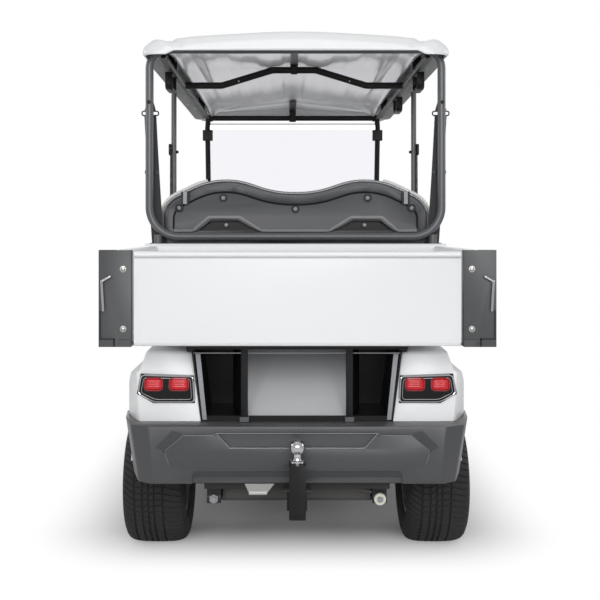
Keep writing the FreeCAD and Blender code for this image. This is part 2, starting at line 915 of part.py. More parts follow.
def make_sill():
    """The moulded sill under each side of the floor, between the wheel arches."""
    outer = cart.body_half_width
    inner = outer - cabin.sill_width
    side = slab("sill", "rear", [
        (inner, cabin.sill_low),
        (outer, cabin.sill_low, cabin.sill_round),
        (outer + cabin.sill_round, cart.floor_top, cabin.sill_round / 2),
        (cabin.floor_half_width + cart.seat_gap, cart.floor_top),
        (cabin.floor_half_width + cart.seat_gap, cart.floor_top - cabin.floor_sheet),
        (inner, cart.floor_top - cabin.floor_sheet),
    ], cabin.sill_rear, cabin.sill_front)
    return pair("sill_panels", side)


def make_seat_base():
    """An open-topped moulded box under the front bench."""
    low = cart.floor_top
    inset = cabin.floor_sheet
    outer = slab("seat_base_outer", "side", [
        (cabin.seat_base_rear, low),
        (cabin.seat_base_front - cabin.seat_base_lean, low),
        (cabin.seat_base_front, cabin.seat_base_top, cabin.seat_base_round / 2),
        (cabin.seat_base_rear, cabin.seat_base_top, cabin.seat_base_round / 2),
    ], -cabin.seat_base_half_width, cabin.seat_base_half_width)
    inner = slab("seat_base_inner", "side", [
        (cabin.seat_base_rear + inset, low + inset),
        (cabin.seat_base_front - cabin.seat_base_lean - inset, low + inset),
        (cabin.seat_base_front - inset * 2, cabin.seat_base_top + inset),
        (cabin.seat_base_rear + inset, cabin.seat_base_top + inset),
    ], -cabin.seat_base_half_width + inset, cabin.seat_base_half_width - inset)
    return carve("front_seat_base", outer, [inner])


sub_part("floor_panel", make_floor())
sub_part("sill_panels", make_sill())
sub_part("front_seat_base", make_seat_base())
sub_part("battery_pack", group("battery_pack", [box(
    "batteries", (-cabin.battery_half_width, cabin.battery_half_width),
    (cabin.seat_base_rear + cabin.battery_clear,
     cabin.seat_base_front - cabin.seat_base_lean - cabin.battery_clear),
    (cart.floor_top + cabin.floor_sheet,
     cart.floor_top + cabin.floor_sheet + cabin.battery_height))]))


def beyond_toe_board(name, half_width, across):
    """The space in front of the toe board, which what stands on the board ends at."""
    return slab(name, "side", [
        (cabin.toe_start, cart.floor_top),
        (cabin.toe_top_along + cart.front_overhang, cart.floor_top),
        (cabin.toe_top_along + cart.front_overhang, cabin.toe_top),
        (cabin.toe_top_along, cabin.toe_top),
    ], across - half_width, across + half_width)


def make_column():
    """A shrouded tube from the toe board to the shaft that carries the wheel."""
    tilt = math.radians(float(helm.helm_tilt))
    downwards = Vector(0, math.sin(tilt), -math.cos(tilt))
    crown = spot(-helm.helm_across, helm.helm_along, helm.helm_height)
    shaft_start = crown + downwards * float(helm.helm_socket_floor + helm.helm_shaft_gap)
    tube_start = crown + downwards * float(helm.helm_hub_depth + helm.column_gap)
    length = float(helm.column_length)
    shaft = Part.makeCylinder(float(helm.shaft_diameter) / 2, length, shaft_start, downwards)
    shroud = Part.makeCylinder(float(helm.column_diameter) / 2, length, tube_start, downwards)
    solid = computed("column_solid", shaft.fuse(shroud))
    return carve("steering_column", solid,
                 [beyond_toe_board("column_seat", helm.column_diameter, -helm.helm_across)])


sub_part("steering_column", make_column())


# Front cowl, dashboard, bumper and lamps

nose = SizeGroup(
    cowl_half_width=555,
    cowl_low=345,
    cowl_scuttle_along=2235,
    cowl_scuttle_height=905,
    cowl_rear_along=2180,
    cowl_rear_height=870,
    cowl_bonnet_along=2560,
    cowl_bonnet_height=800,
    cowl_brow_along=2665,
    cowl_brow_height=650,
    cowl_front_along=2705,
    cowl_front_height=470,
    cowl_round=60,
    cowl_corner=120,
    front_arch_radius=300,
    front_well_inner=219,
    dash_depth=110,
    dash_height=150,
    front_bumper_half_width=500,
    front_bumper_low=290,
    front_bumper_high=470,
    front_bumper_sweep=90,
    headlamp_inner=240,
    headlamp_outer=470,
    headlamp_low=540,
    headlamp_high=620,
    lamp_relief=6,
)


def along_front(edge, limit):
    """True for an edge that runs across the cart's height near its front corners."""
    least_rise = 20
    reach = edge.BoundBox
    return reach.XLength < 1 and reach.ZLength > least_rise and reach.YMax > limit


def cowl_hull(inset):
    """The cowl's outer form, or the same form drawn inside it by inset."""
    body = slab("cowl_hull", "side", [
        (cabin.toe_start + inset, below(nose.cowl_low, inset)),
        (nose.cowl_rear_along + inset, nose.cowl_rear_height - inset),
        (nose.cowl_scuttle_along, nose.cowl_scuttle_height - inset),
        (nose.cowl_bonnet_along, nose.cowl_bonnet_height - inset, nose.cowl_round * 4),
        (nose.cowl_brow_along - inset, nose.cowl_brow_height, nose.cowl_round),
        (nose.cowl_front_along - inset, nose.cowl_front_height),
        (nose.cowl_front_along - nose.cowl_round - inset, below(nose.cowl_low, inset)),
    ], -nose.cowl_half_width + inset, nose.cowl_half_width - inset)
    limit = float(nose.cowl_brow_along) - float(nose.cowl_round)
    round_edges(body, nose.cowl_corner - inset, lambda edge: along_front(edge, limit))
    return body


def wheel_well(name, along, radius, inner, outer, wall, low):
    """A closed half-round liner over a wheel, and the space that it keeps open."""
    liner = rod(name + "_liner", "x", radius + wall, (inner - wall, along, axle_height),
                outer - inner + wall)
    ground = box(name + "_ground", (-outer * 2, outer * 2),
                 (along - radius * 2, along + radius * 2), (low - radius * 3, low))
    liner = carve(name + "_cap", liner, [ground])
    space = rod(name + "_space", "x", radius, (inner, along, axle_height), outer)
    return liner, space


def cabin_opening():
    """The space on the cabin's side of the toe board, where the cowl is open."""
    front = cabin.toe_top_along + cabin.floor_sheet + cart.seat_gap
    rear = cabin.toe_start - nose.cowl_round
    half = cabin.floor_half_width + cart.seat_gap
    return slab("cabin_opening", "side", [
        (rear, nose.cowl_low - cart.body_wall * 2),
        (cabin.toe_start + cabin.floor_sheet, nose.cowl_low - cart.body_wall * 2),
        (cabin.toe_start + cabin.floor_sheet, nose.cowl_low),
        (front, cabin.toe_top),
        (front, nose.cowl_rear_height + nose.cowl_round),
        (rear, nose.cowl_rear_height + nose.cowl_round),
    ], -half, half)


def make_cowl():
    """The moulded nose, hollow and open to the cabin, with a liner over each wheel."""
    wall = cart.body_wall
    shell = carve("cowl_shell", cowl_hull(nothing), [cowl_hull(wall)])
    liner, space = wheel_well("front_well", cart.wheelbase, nose.front_arch_radius,
                              nose.front_well_inner, nose.cowl_half_width - wall, wall,
                              nose.cowl_low)
    whole = join("cowl_with_wells", [shell, liner, mirrored(liner)])
    rail_half = frame.front_rail_centre + frame.rail_width / 2 + frame.rail_slot_margin
    slot = box("rail_slot", (-rail_half, rail_half),
               (cart.wheelbase, front_rail_front + nose.cowl_round),
               (nose.cowl_low - nose.cowl_round, frame.rail_rear_high + frame.rail_slot_margin))
    return carve("front_cowl", whole, [space, mirrored(space), cabin_opening(), slot])


def make_dashboard():
    """The padded dash across the back of the cowl."""
    rear = nose.cowl_rear_along - nose.dash_depth / 2
    top = nose.cowl_rear_height - cart.body_wall
    pad_ = slab("dash_pad", "side", [
        (rear + nose.dash_depth, top - nose.dash_height),
        (rear + nose.dash_depth, top + cart.body_wall),
        (rear, top, nose.cowl_round / 3),
        (rear + nose.dash_depth / 4, top - nose.dash_height, nose.cowl_round / 3),
    ], -cabin.floor_half_width, cabin.floor_half_width)
    skin = carve("dash_clearance", cowl_hull(-cart.seat_gap),
                 [cowl_hull(cart.body_wall + cart.seat_gap), cabin_opening()])
    return carve("dashboard", pad_, [skin])


def make_front_bumper():
    """A wrapped bar in front of the cowl."""
    front = cart.wheelbase + cart.front_overhang
    depth = cart.front_bumper_depth
    half = nose.front_bumper_half_width
    swept = front - nose.front_bumper_sweep
    body = slab("front_bar", "top", both_sides([
        (0, front - depth),
        (half - depth, front - depth, nose.cowl_round),
        (half - depth / 3, swept - depth / 2),
        (half, swept - depth / 2),
        (half - depth / 4, front, nose.cowl_round),
    ]), nose.front_bumper_low, nose.front_bumper_high)
    return carve("front_bumper", body, [cowl_hull(-cart.seat_gap)])


def make_headlamps():
    """Lamp units that follow the nose's surface."""
    reach = slab("headlamp_window", "rear", [
        (nose.headlamp_inner, nose.headlamp_low),
        (nose.headlamp_outer, nose.headlamp_low + nose.lamp_relief * 2),
        (nose.headlamp_outer + nose.lamp_relief, nose.headlamp_high),
        (nose.headlamp_inner, nose.headlamp_high - nose.lamp_relief),
    ], nose.cowl_bonnet_along, nose.cowl_front_along + nose.cowl_round)
    skin = carve("headlamp_skin", cowl_hull(-nose.lamp_relief), [cowl_hull(nothing)])
    lamp = overlap("headlamp", [skin, reach])
    return pair("headlamps", lamp)


sub_part("front_cowl", make_cowl())
sub_part("dashboard", make_dashboard())
sub_part("front_bumper", make_front_bumper())
sub_part("headlamps", make_headlamps())


# Rear body, bag well, bumper and lamps

body = SizeGroup(
    deck_height=727,
    deck_rear=370,
    skirt_rear=400,
    skirt_height=490,
    step_along=90,
    step_run=18,
    seat_deck=745,
    seat_deck_front=655,
    seat_front_lean=10,
    step_back=200,
    shoulder_half_width=484,
    waist_half_width=506,
    waist_height=664,
    flare_height=655,
    flare_half_width=543,
    fender_height=602,
    body_round=14,
    corner_half_width=500,
    corner_start=270,
    corner_round=60,
    rear_arch_radius=275,
    rear_well_inner=330,
    bag_floor=501,
    bag_half_width=300,
    bag_mouth_half_width=330,
    bag_front=60,
    bag_wall=6,
    bag_lip=24,
    bag_bulge_half_width=216,
    bag_bulge_depth=140,
    bag_bulge_round=60,
)


def rear_hull(inset):
    """The rear body's outer form, or the same form drawn inside it by inset."""
    side = slab("rear_side", "side", [
        (-body.skirt_rear + inset, below(body.skirt_height, inset)),
        (-body.deck_rear + inset, body.deck_height - inset, body.body_round),
        (body.step_along, body.deck_height - inset),
        (body.step_along + body.step_run, body.seat_deck - inset),
        (body.seat_deck_front - inset, body.seat_deck - inset, body.body_round),
        (body.seat_deck_front - body.seat_front_lean - inset, below(cart.floor_top, inset)),
        (body.step_back - inset, below(cart.floor_top, inset)),
        (body.step_back - inset, below(body.skirt_height, inset)),
    ], -cart.body_half_width * 2, cart.body_half_width * 2)
    half = cart.body_half_width - inset
    back = slab("rear_section", "rear", both_sides([
        (half, cart.floor_top - cart.body_wall * 2),
        (half, body.fender_height, body.body_round * 2),
        (body.flare_half_width - inset, body.flare_height - inset, body.body_round),
        (body.waist_half_width - inset, body.waist_height - inset, body.body_round / 2),
        (body.shoulder_half_width - inset, body.deck_height - inset),
        (body.shoulder_half_width - inset * 2, body.seat_deck + cart.body_wall),
    ]), -body.skirt_rear * 2, body.seat_deck_front * 2)
    plan = slab("rear_plan", "top", both_sides([
        (body.corner_half_width - inset, -body.skirt_rear - cart.body_wall * 2,
         body.corner_round),
        (half, -body.corner_start, body.corner_round * 2),
        (half, body.seat_deck_front * 2),
    ]), cart.floor_top - cart.body_wall * 3, body.seat_deck * 2)
    return overlap("rear_hull", [side, back, plan])


def bag_outline(grow, low, high):
    """The bag well's trapezoid seen from behind, widened by a wall or a clearance."""
    spread = ((body.bag_mouth_half_width - body.bag_half_width)
              / (body.deck_height - body.bag_floor))
    return both_sides([
        (body.bag_half_width + grow + (low - body.bag_floor) * spread, low),
        (body.bag_half_width + grow + (high - body.bag_floor) * spread, high),
    ])


def make_rear_body():
    """A moulded tail with flared fenders, a bag well opening and two wheel wells."""
    wall = cart.body_wall
    shell = carve("rear_shell", rear_hull(nothing), [rear_hull(wall)])
    liner, space = wheel_well("rear_well", nothing, body.rear_arch_radius,
                              body.rear_well_inner, cart.body_half_width - wall, wall,
                              cart.floor_top)
    whole = join("tail_with_wells", [shell, liner, mirrored(liner)])
    opening = slab("bag_opening", "rear",
                   bag_outline(body.bag_wall + cart.seat_gap,
                               body.bag_floor - body.bag_wall - cart.seat_gap,
                               body.deck_height + wall),
                   -body.skirt_rear * 2, -body.bag_front + body.bag_wall + cart.seat_gap)
    return carve("rear_body", whole, [space, mirrored(space), opening])


def bag_bulge(inset, low, high):
    """The rounded cover of the drive that bulges into the bag well from its front."""
    half = body.bag_bulge_half_width - inset
    back = -body.bag_front - body.bag_bulge_depth + inset
    return slab("bag_bulge", "top", both_sides([
        (half, back, body.bag_bulge_round - inset),
        (half + body.bag_wall, -body.bag_front),
    ]), low, high)


def make_bag_well():
    """The open tray behind the seats: a bulged front and a low lip at its mouth."""
    rear = -body.skirt_rear
    front = -body.bag_front
    low = body.bag_floor - body.bag_wall
    outer = slab("bag_outer", "rear", bag_outline(body.bag_wall, low, body.deck_height),
                 rear, front + body.bag_wall)
    inner = slab("bag_inner", "rear",
                 bag_outline(nothing, body.bag_floor, body.deck_height + body.bag_wall),
                 rear - body.bag_wall, front)
    tray = carve("bag_tray", outer, [inner])
    lip = box("bag_lip", (-body.bag_half_width, body.bag_half_width),
              (rear, rear + body.bag_wall),
              (body.bag_floor - body.bag_wall, body.bag_floor + body.bag_lip))
    whole = join("bag_tray_with_bulge",
                 [tray, lip, bag_bulge(nothing, body.bag_floor, body.deck_height)])
    hollow = bag_bulge(body.bag_wall, low - body.bag_wall, body.deck_height - body.bag_wall)
    return carve("bag_well", whole, [hollow])


bumper = SizeGroup(
    bumper_rear=490,
    bumper_face_half_width=464,
    bumper_corner_half_width=524,
    bumper_corner_along=452,
    bumper_corner=24,
    bumper_wing_along=340,
    bumper_side_half_width=556,
    bumper_wing_half_width=570,
    bumper_wing_front=225,
    bumper_wing_wall=26,
    bumper_low=331,
    bumper_high=508,
    bumper_draft=27,
    bumper_round=8,
    face_relief=6,
    face_top_half_width=353,
    face_tip_half_width=412,
    face_foot_half_width=398,
    face_foot_inner=338,
    face_top=481,
    face_tip=431,
    face_foot=392,
    tuck_half_width=326,
    tuck_high=376,
    tuck_low=346,
    tuck_depth=18,
    band_high=486,
    band_low=445,
    band_high_half_width=246,
    band_low_half_width=207,
    band_depth=9,
)


def bumper_plan(draft):
    """The bumper's wrap round the tail seen from above, drawn in by a draft."""
    return both_sides([
        (0, -body.skirt_rear - cart.seat_gap),
        (bumper.bumper_face_half_width, -body.skirt_rear - cart.seat_gap,
         bumper.bumper_corner / 2),
        (bumper.bumper_wing_half_width - bumper.bumper_wing_wall - draft,
         -bumper.bumper_wing_front),
        (bumper.bumper_wing_half_width - draft, -bumper.bumper_wing_front),
        (bumper.bumper_side_half_width - draft, -bumper.bumper_wing_along,
         bumper.bumper_corner * 3),
        (bumper.bumper_corner_half_width - draft, -bumper.bumper_corner_along,
         bumper.bumper_corner),
        (bumper.bumper_face_half_width - draft / 2,
         -bumper.bumper_rear + bumper.face_relief, bumper.bumper_corner),
    ])


def make_rear_bumper():
    """A wrapped moulding with a raised middle, whose wings run to the wheel arches."""
    wrap = loft("bumper_wrap", "top", [
        (bumper.bumper_low, bumper_plan(bumper.bumper_draft)),
        (bumper.bumper_high, bumper_plan(nothing))])
    pad_rear = -bumper.bumper_rear
    side = slab("bumper_side", "side", [
        (pad_rear + bumper.bumper_round, bumper.bumper_low),
        (pad_rear + bumper.face_relief / 2, bumper.tuck_high, bumper.bumper_corner),
        (pad_rear, bumper.face_tip),
        (pad_rear, bumper.bumper_high, bumper.bumper_round),
        (-bumper.bumper_wing_front, bumper.bumper_high),
        (-bumper.bumper_wing_front, bumper.bumper_low),
    ], -cart.body_half_width * 2, cart.body_half_width * 2)
    raised = slab("bumper_face", "rear", both_sides([
        (bumper.face_foot_inner, bumper.tuck_high),
        (bumper.face_foot_half_width, bumper.face_foot),
        (bumper.face_tip_half_width, bumper.face_tip),
        (bumper.face_top_half_width, bumper.face_top),
    ]), pad_rear, pad_rear + bumper.face_relief * 2)
    solid = overlap("bumper_solid", [join("bumper_form", [wrap, raised]), side])
    arch = rod("bumper_arch", "x", body.rear_arch_radius + cart.body_wall + cart.seat_gap,
               (-cart.body_half_width * 2, nothing, axle_height),
               cart.body_half_width * 4)
    band = slab("bumper_band", "rear", both_sides([
        (bumper.band_low_half_width, bumper.band_low),
        (bumper.band_high_half_width, bumper.band_high),
    ]), -bumper.bumper_rear * 2, -bumper.bumper_rear + bumper.band_depth)
    tuck = slab("bumper_tuck", "side", [
        (pad_rear - bumper.face_relief, bumper.tuck_high),
        (pad_rear + bumper.face_relief / 2, bumper.tuck_high),
        (pad_rear + bumper.tuck_depth, bumper.tuck_low),
        (pad_rear + bumper.tuck_depth, bumper.bumper_low - bumper.bumper_round),
        (pad_rear - bumper.face_relief, bumper.bumper_low - bumper.bumper_round),
    ], -bumper.tuck_half_width, bumper.tuck_half_width)
    tail_clear = rear_hull(-cart.seat_gap)
    rail_half = frame.rear_rail_centre + frame.rail_width / 2 + cart.seat_gap
    frame_clear = box("frame_clearance", (-rail_half, rail_half),
                      (-frame.rail_rear_end - cart.seat_gap, nothing),
                      (bumper.bumper_low - bumper.bumper_corner,
                       frame.rail_rear_high + cart.seat_gap))
    return carve("rear_bumper", solid, [arch, band, tuck, tail_clear, frame_clear])


lamp = SizeGroup(
    lamp_inner_half_width=331,
    lamp_inner_low_half_width=326,
    lamp_outer_half_width=501,
    lamp_corner_half_width=512,
    lamp_outer_low_half_width=459,
    lamp_inner_top=651,
    lamp_outer_top=657,
    lamp_bottom=565,
    lamp_corner_height=594,
    lamp_depth=70,
    lens_relief=3,
    lens_outer=486,
    lens_split_outer=433,
    lens_split_inner=406,
    lens_inner=350,
    lens_top=642,
    lens_bottom=604,
    lens_round=5,
)


def lamp_skin(name, corners, below, above):
    """A piece of skin over the tail, bounded by an outline seen from behind."""
    window = slab(name + "_window", "rear", corners,
                  -body.skirt_rear - lamp.lamp_depth, -body.deck_rear + lamp.lamp_depth)
    skin = carve(name + "_skin", rear_hull(-above), [rear_hull(-below)])
    return overlap(name, [skin, window])


def make_tail_lamps():
    """A housing that wraps each rear corner."""
    housing = lamp_skin("tail_lamp", [
        (lamp.lamp_inner_low_half_width, lamp.lamp_bottom),
        (lamp.lamp_outer_low_half_width, lamp.lamp_bottom),
        (lamp.lamp_corner_half_width, lamp.lamp_corner_height),
        (lamp.lamp_outer_half_width, lamp.lamp_outer_top),
        (lamp.lamp_inner_half_width, lamp.lamp_inner_top),
    ], nothing, nose.lamp_relief)
    return pair("tail_lamps", housing)


def make_lenses():
    """Two red lenses on each housing."""
    lenses = []
    for inner, outer in ((lamp.lens_inner, lamp.lens_split_inner),
                         (lamp.lens_split_outer, lamp.lens_outer)):
        lens = lamp_skin("lens", [
            (inner, lamp.lens_bottom, lamp.lens_round),
            (outer, lamp.lens_bottom, lamp.lens_round),
            (outer, lamp.lens_top, lamp.lens_round),
            (inner, lamp.lens_top, lamp.lens_round),
        ], nose.lamp_relief, nose.lamp_relief + lamp.lens_relief)
        lenses += [lens, mirrored(lens)]
    return group("tail_lamp_lenses", lenses)


sub_part("rear_body", make_rear_body())
sub_part("bag_well", make_bag_well())
sub_part("rear_bumper", make_rear_bumper())
sub_part("tail_lamps", make_tail_lamps())
sub_part("tail_lamp_lenses", make_lenses())


# Hitch

hitch = SizeGroup(
    receiver_size=64,
    receiver_length=110,
    drawbar_size=50,
    drop_bar_rear=585,
    drop_bar_depth=20,
    drop_bar_low=264,
    drop_bar_high=404,
    shelf_height=404,
    shelf_sheet=8,
    shelf_length=70,
    ball_diameter=47.6,
    ball_height=460,
    ball_along=548,
    ball_neck_diameter=26,
    ball_flange_diameter=44,
    ball_flange_thickness=6,
    ball_shank_diameter=19,
    ball_nut_height=20,
    ball_nut_diameter=30,
)


def make_hitch_bar():
    """Receiver tube under the frame's tail, drawbar, drop plate and ball shelf."""
    half = hitch.receiver_size / 2
    low = frame.rail_rear_low - hitch.receiver_size
    rear = -frame.rail_rear_end - frame.crossmember_length / 4
    socket = box("receiver", (-half, half), (rear, rear + hitch.receiver_length),
                 (low, low + hitch.receiver_size))
    bar_half = hitch.drawbar_size / 2
    middle = low + half
    bar = box("drawbar", (-bar_half, bar_half),
              (-hitch.drop_bar_rear + hitch.drop_bar_depth, rear),
              (middle - bar_half, middle + bar_half))
    drop = box("drop_plate", (-bar_half, bar_half),
               (-hitch.drop_bar_rear, -hitch.drop_bar_rear + hitch.drop_bar_depth),
               (hitch.drop_bar_low, hitch.drop_bar_high))
    shelf = box("ball_shelf", (-bar_half, bar_half),
                (-hitch.drop_bar_rear, -hitch.drop_bar_rear + hitch.shelf_length),
                (hitch.shelf_height, hitch.shelf_height + hitch.shelf_sheet))
    hole = rod("shelf_hole", "z", hitch.ball_shank_diameter / 2 + cart.seat_gap,
               (0, -hitch.ball_along, hitch.shelf_height - hitch.shelf_sheet),
               hitch.shelf_sheet * 3)
    return carve("hitch_bar", join("hitch_solid", [socket, bar, drop, shelf]), [hole])


def make_hitch_ball():
    """A turned ball on its neck, flange, shank and nut."""
    radius = hitch.ball_diameter / 2
    top_of_shelf = hitch.shelf_height + hitch.shelf_sheet
    ball = doc.addObject("Part::Sphere", "ball")
    bind(ball, "Radius", radius)
    for letter, value in zip("xyz", (0, -hitch.ball_along, hitch.ball_height)):
        bind(ball, "Placement.Base." + letter, value)
    neck = rod("ball_neck", "z", hitch.ball_neck_diameter / 2,
               (0, -hitch.ball_along, top_of_shelf), hitch.ball_height - top_of_shelf)
    flange = rod("ball_flange", "z", hitch.ball_flange_diameter / 2,
                 (0, -hitch.ball_along, top_of_shelf), hitch.ball_flange_thickness)
    nut_low = hitch.shelf_height - hitch.ball_nut_height
    shank = rod("ball_shank", "z", hitch.ball_shank_diameter / 2,
                (0, -hitch.ball_along, nut_low - hitch.ball_nut_height / 2),
                top_of_shelf - nut_low + hitch.ball_nut_height / 2)
    nut = doc.addObject("Part::Prism", "ball_nut")
    nut.Polygon = 6
    bind(nut, "Circumradius", hitch.ball_nut_diameter / 2)
    bind(nut, "Height", hitch.ball_nut_height)
    for letter, value in zip("xyz", (0, -hitch.ball_along, nut_low)):
        bind(nut, "Placement.Base." + letter, value)
    return join("hitch_ball", [ball, neck, flange, shank, nut])


sub_part("hitch_bar", make_hitch_bar())
sub_part("hitch_ball", make_hitch_ball())


# Cargo box with its tailgate, end plates, latch rods and supports

cargo = SizeGroup(
    box_front=31,
    box_half_width=548,
    box_floor_low=768,
    box_rim=1058,
    box_wall=14,
    box_floor_sheet=14,
    box_rail_width=46,
    box_rail_depth=30,
    box_far_rail_rise=9,
    box_tail_gap=28,
    gate_half_width=490,
    gate_thickness=20,
    gate_low_gap=1,
    gate_axis_inset=13.5,
    gate_top=1054,
    gate_lip_depth=12,
    gate_barrel_diameter=18,
    gate_pin_diameter=8,
    gate_pin_length=40,
    gate_pin_gap=0.3,
    plate_inner=498,
    plate_outer=595,
    plate_return=38,
    plate_notch_height=22,
    plate_notch_width=36,
    latch_across=558,
    latch_height=980,
    latch_out=26,
    latch_knee_height=965,
    latch_foot_height=876,
    latch_foot_out=21,
    latch_bend=4.5,
    bearer_across=340,
    bearer_width=26,
    bearer_rear=390,
    bearer_front=20,
    post_across=167,
    post_width=22,
    post_depth=22,
    post_rear=412,
)
gate_axis_along = -(tail.box_rear - cargo.gate_axis_inset)
gate_axis_height = cargo.box_floor_low + cargo.gate_barrel_diameter / 2 + cargo.gate_low_gap


def make_cargo_box():
    """A tub with rolled side rails, open at the top and behind."""
    outer, wall = cargo.box_half_width, cargo.box_wall
    rail_in = outer - cargo.box_rail_width
    under_rail = cargo.box_rim - cargo.box_rail_depth
    floor_top = cargo.box_floor_low + cargo.box_floor_sheet
    rear = -tail.box_rear + cargo.box_tail_gap
    tub = slab("tub", "rear", both_sides([
        (outer, cargo.box_floor_low, wall),
        (outer, cargo.box_rim, wall / 2),
        (rail_in, cargo.box_rim, wall / 2),
        (rail_in, under_rail),
        (outer - wall, under_rail),
        (outer - wall, floor_top, wall),
    ]), rear, cargo.box_front)
    wall_front = slab("front_wall", "side", [
        (cargo.box_front - wall, cargo.box_floor_low),
        (cargo.box_front, cargo.box_floor_low),
        (cargo.box_front, cargo.box_rim + cargo.box_far_rail_rise, wall / 2),
        (cargo.box_front - cargo.box_rail_width / 2,
         cargo.box_rim + cargo.box_far_rail_rise, wall / 2),
        (cargo.box_front - cargo.box_rail_width / 2, under_rail),
        (cargo.box_front - wall, under_rail),
    ], -outer, outer)
    return join("cargo_box", [tub, wall_front])


def make_tailgate():
    """The flat drop gate, with a folded top lip and a hinge barrel along its foot."""
    rear = -tail.box_rear
    front = rear + cargo.gate_thickness
    low = gate_axis_height
    panel = slab("gate_panel", "side", [
        (rear, low),
        (front, low),
        (front, cargo.gate_top - cargo.gate_lip_depth),
        (front + cargo.gate_lip_depth / 2, cargo.gate_top - cargo.gate_lip_depth / 2),
        (front, cargo.gate_top, cargo.gate_lip_depth / 3),
        (rear, cargo.gate_top, cargo.gate_lip_depth / 2),
    ], -cargo.gate_half_width, cargo.gate_half_width)
    barrel = rod("gate_barrel", "x", cargo.gate_barrel_diameter / 2,
                 (-cargo.gate_half_width, gate_axis_along, gate_axis_height),
                 cargo.gate_half_width * 2)
    bore = rod("gate_bore", "x", cargo.gate_pin_diameter / 2 + cargo.gate_pin_gap,
               (-cargo.gate_half_width * 2, gate_axis_along, gate_axis_height),
               cargo.gate_half_width * 4)
    return carve("tailgate_panel", join("gate_solid", [panel, barrel]), [bore])


def make_end_plates():
    """Folded black plates that close the rear ends of the side walls."""
    sheet_ = tail.end_plate_sheet
    rear = -tail.box_rear - sheet_
    inner, outer = cargo.plate_inner, cargo.plate_outer
    reach = rear + cargo.plate_return
    seat_on_box = -tail.box_rear + cargo.box_tail_gap - cart.seat_gap
    plate = slab("end_plate", "top", [
        (inner, rear), (outer, rear), (outer, reach), (outer - sheet_, reach),
        (outer - sheet_, rear + sheet_), (inner + sheet_, rear + sheet_),
        (inner + sheet_, seat_on_box), (inner, seat_on_box),
    ], cargo.box_floor_low, cargo.box_rim)
    notch = box("plate_notch", (inner - sheet_, inner + cargo.plate_notch_width),
                (rear - sheet_, rear + sheet_ * 2),
                (cargo.box_floor_low - sheet_,
                 cargo.box_floor_low + cargo.plate_notch_height))
    pin_start = cargo.gate_half_width - cargo.gate_pin_length
    pin = rod("gate_pin", "x", cargo.gate_pin_diameter / 2,
              (pin_start, gate_axis_along, gate_axis_height),
              inner + sheet_ - pin_start)
    tie = box("plate_tie", (cargo.box_half_width + cart.seat_gap, outer - sheet_),
              (reach - sheet_, reach), (cargo.box_floor_low, cargo.box_rim))
    side = join("end_plate_with_pin", [carve("notched_plate", plate, [notch]), pin, tie])
    return pair("tailgate_end_plates", side)


def make_latch_rods():
    """A bent rod on the face of each end plate."""
    along = -(rear_reach - tail.latch_rod_diameter / 2)
    foot = -(tail.box_rear + tail.end_plate_sheet)
    across = cargo.latch_across
    rod_ = tube("latch_rod", [
        spot(across, foot, cargo.latch_height),
        spot(across, along, cargo.latch_height),
        spot(across + cargo.latch_out, along, cargo.latch_knee_height),
        spot(across + cargo.latch_foot_out, along, cargo.latch_foot_height),
    ], tail.latch_rod_diameter / 2, cargo.latch_bend)
    return pair("latch_rods", rod_)


def make_box_supports():
    """Two long bearers on the deck and two posts behind the bag well."""
    half = cargo.bearer_width / 2
    bearer = box("bearer", (cargo.bearer_across - half, cargo.bearer_across + half),
                 (-cargo.bearer_rear, cargo.bearer_front),
                 (body.deck_height, cargo.box_floor_low))
    post_half = cargo.post_width / 2
    post = box("post", (cargo.post_across - post_half, cargo.post_across + post_half),
               (-cargo.post_rear, -cargo.post_rear + cargo.post_depth / 2),
               (bumper.bumper_high + cart.seat_gap, cargo.box_floor_low))
    foot = box("post_cap", (-cargo.bearer_across - half, cargo.bearer_across + half),
               (-cargo.post_rear, -cargo.post_rear + cargo.bearer_width),
               (body.deck_height + cargo.post_depth / 2, cargo.box_floor_low))
    return join("box_supports", [bearer, mirrored(bearer), post, mirrored(post), foot])


sub_part("cargo_box", make_cargo_box())
sub_part("tailgate_panel", make_tailgate())
sub_part("tailgate_end_plates", make_end_plates())
sub_part("latch_rods", make_latch_rods())
sub_part("box_supports", make_box_supports())


# Roof, its frame, the struts and the windshield

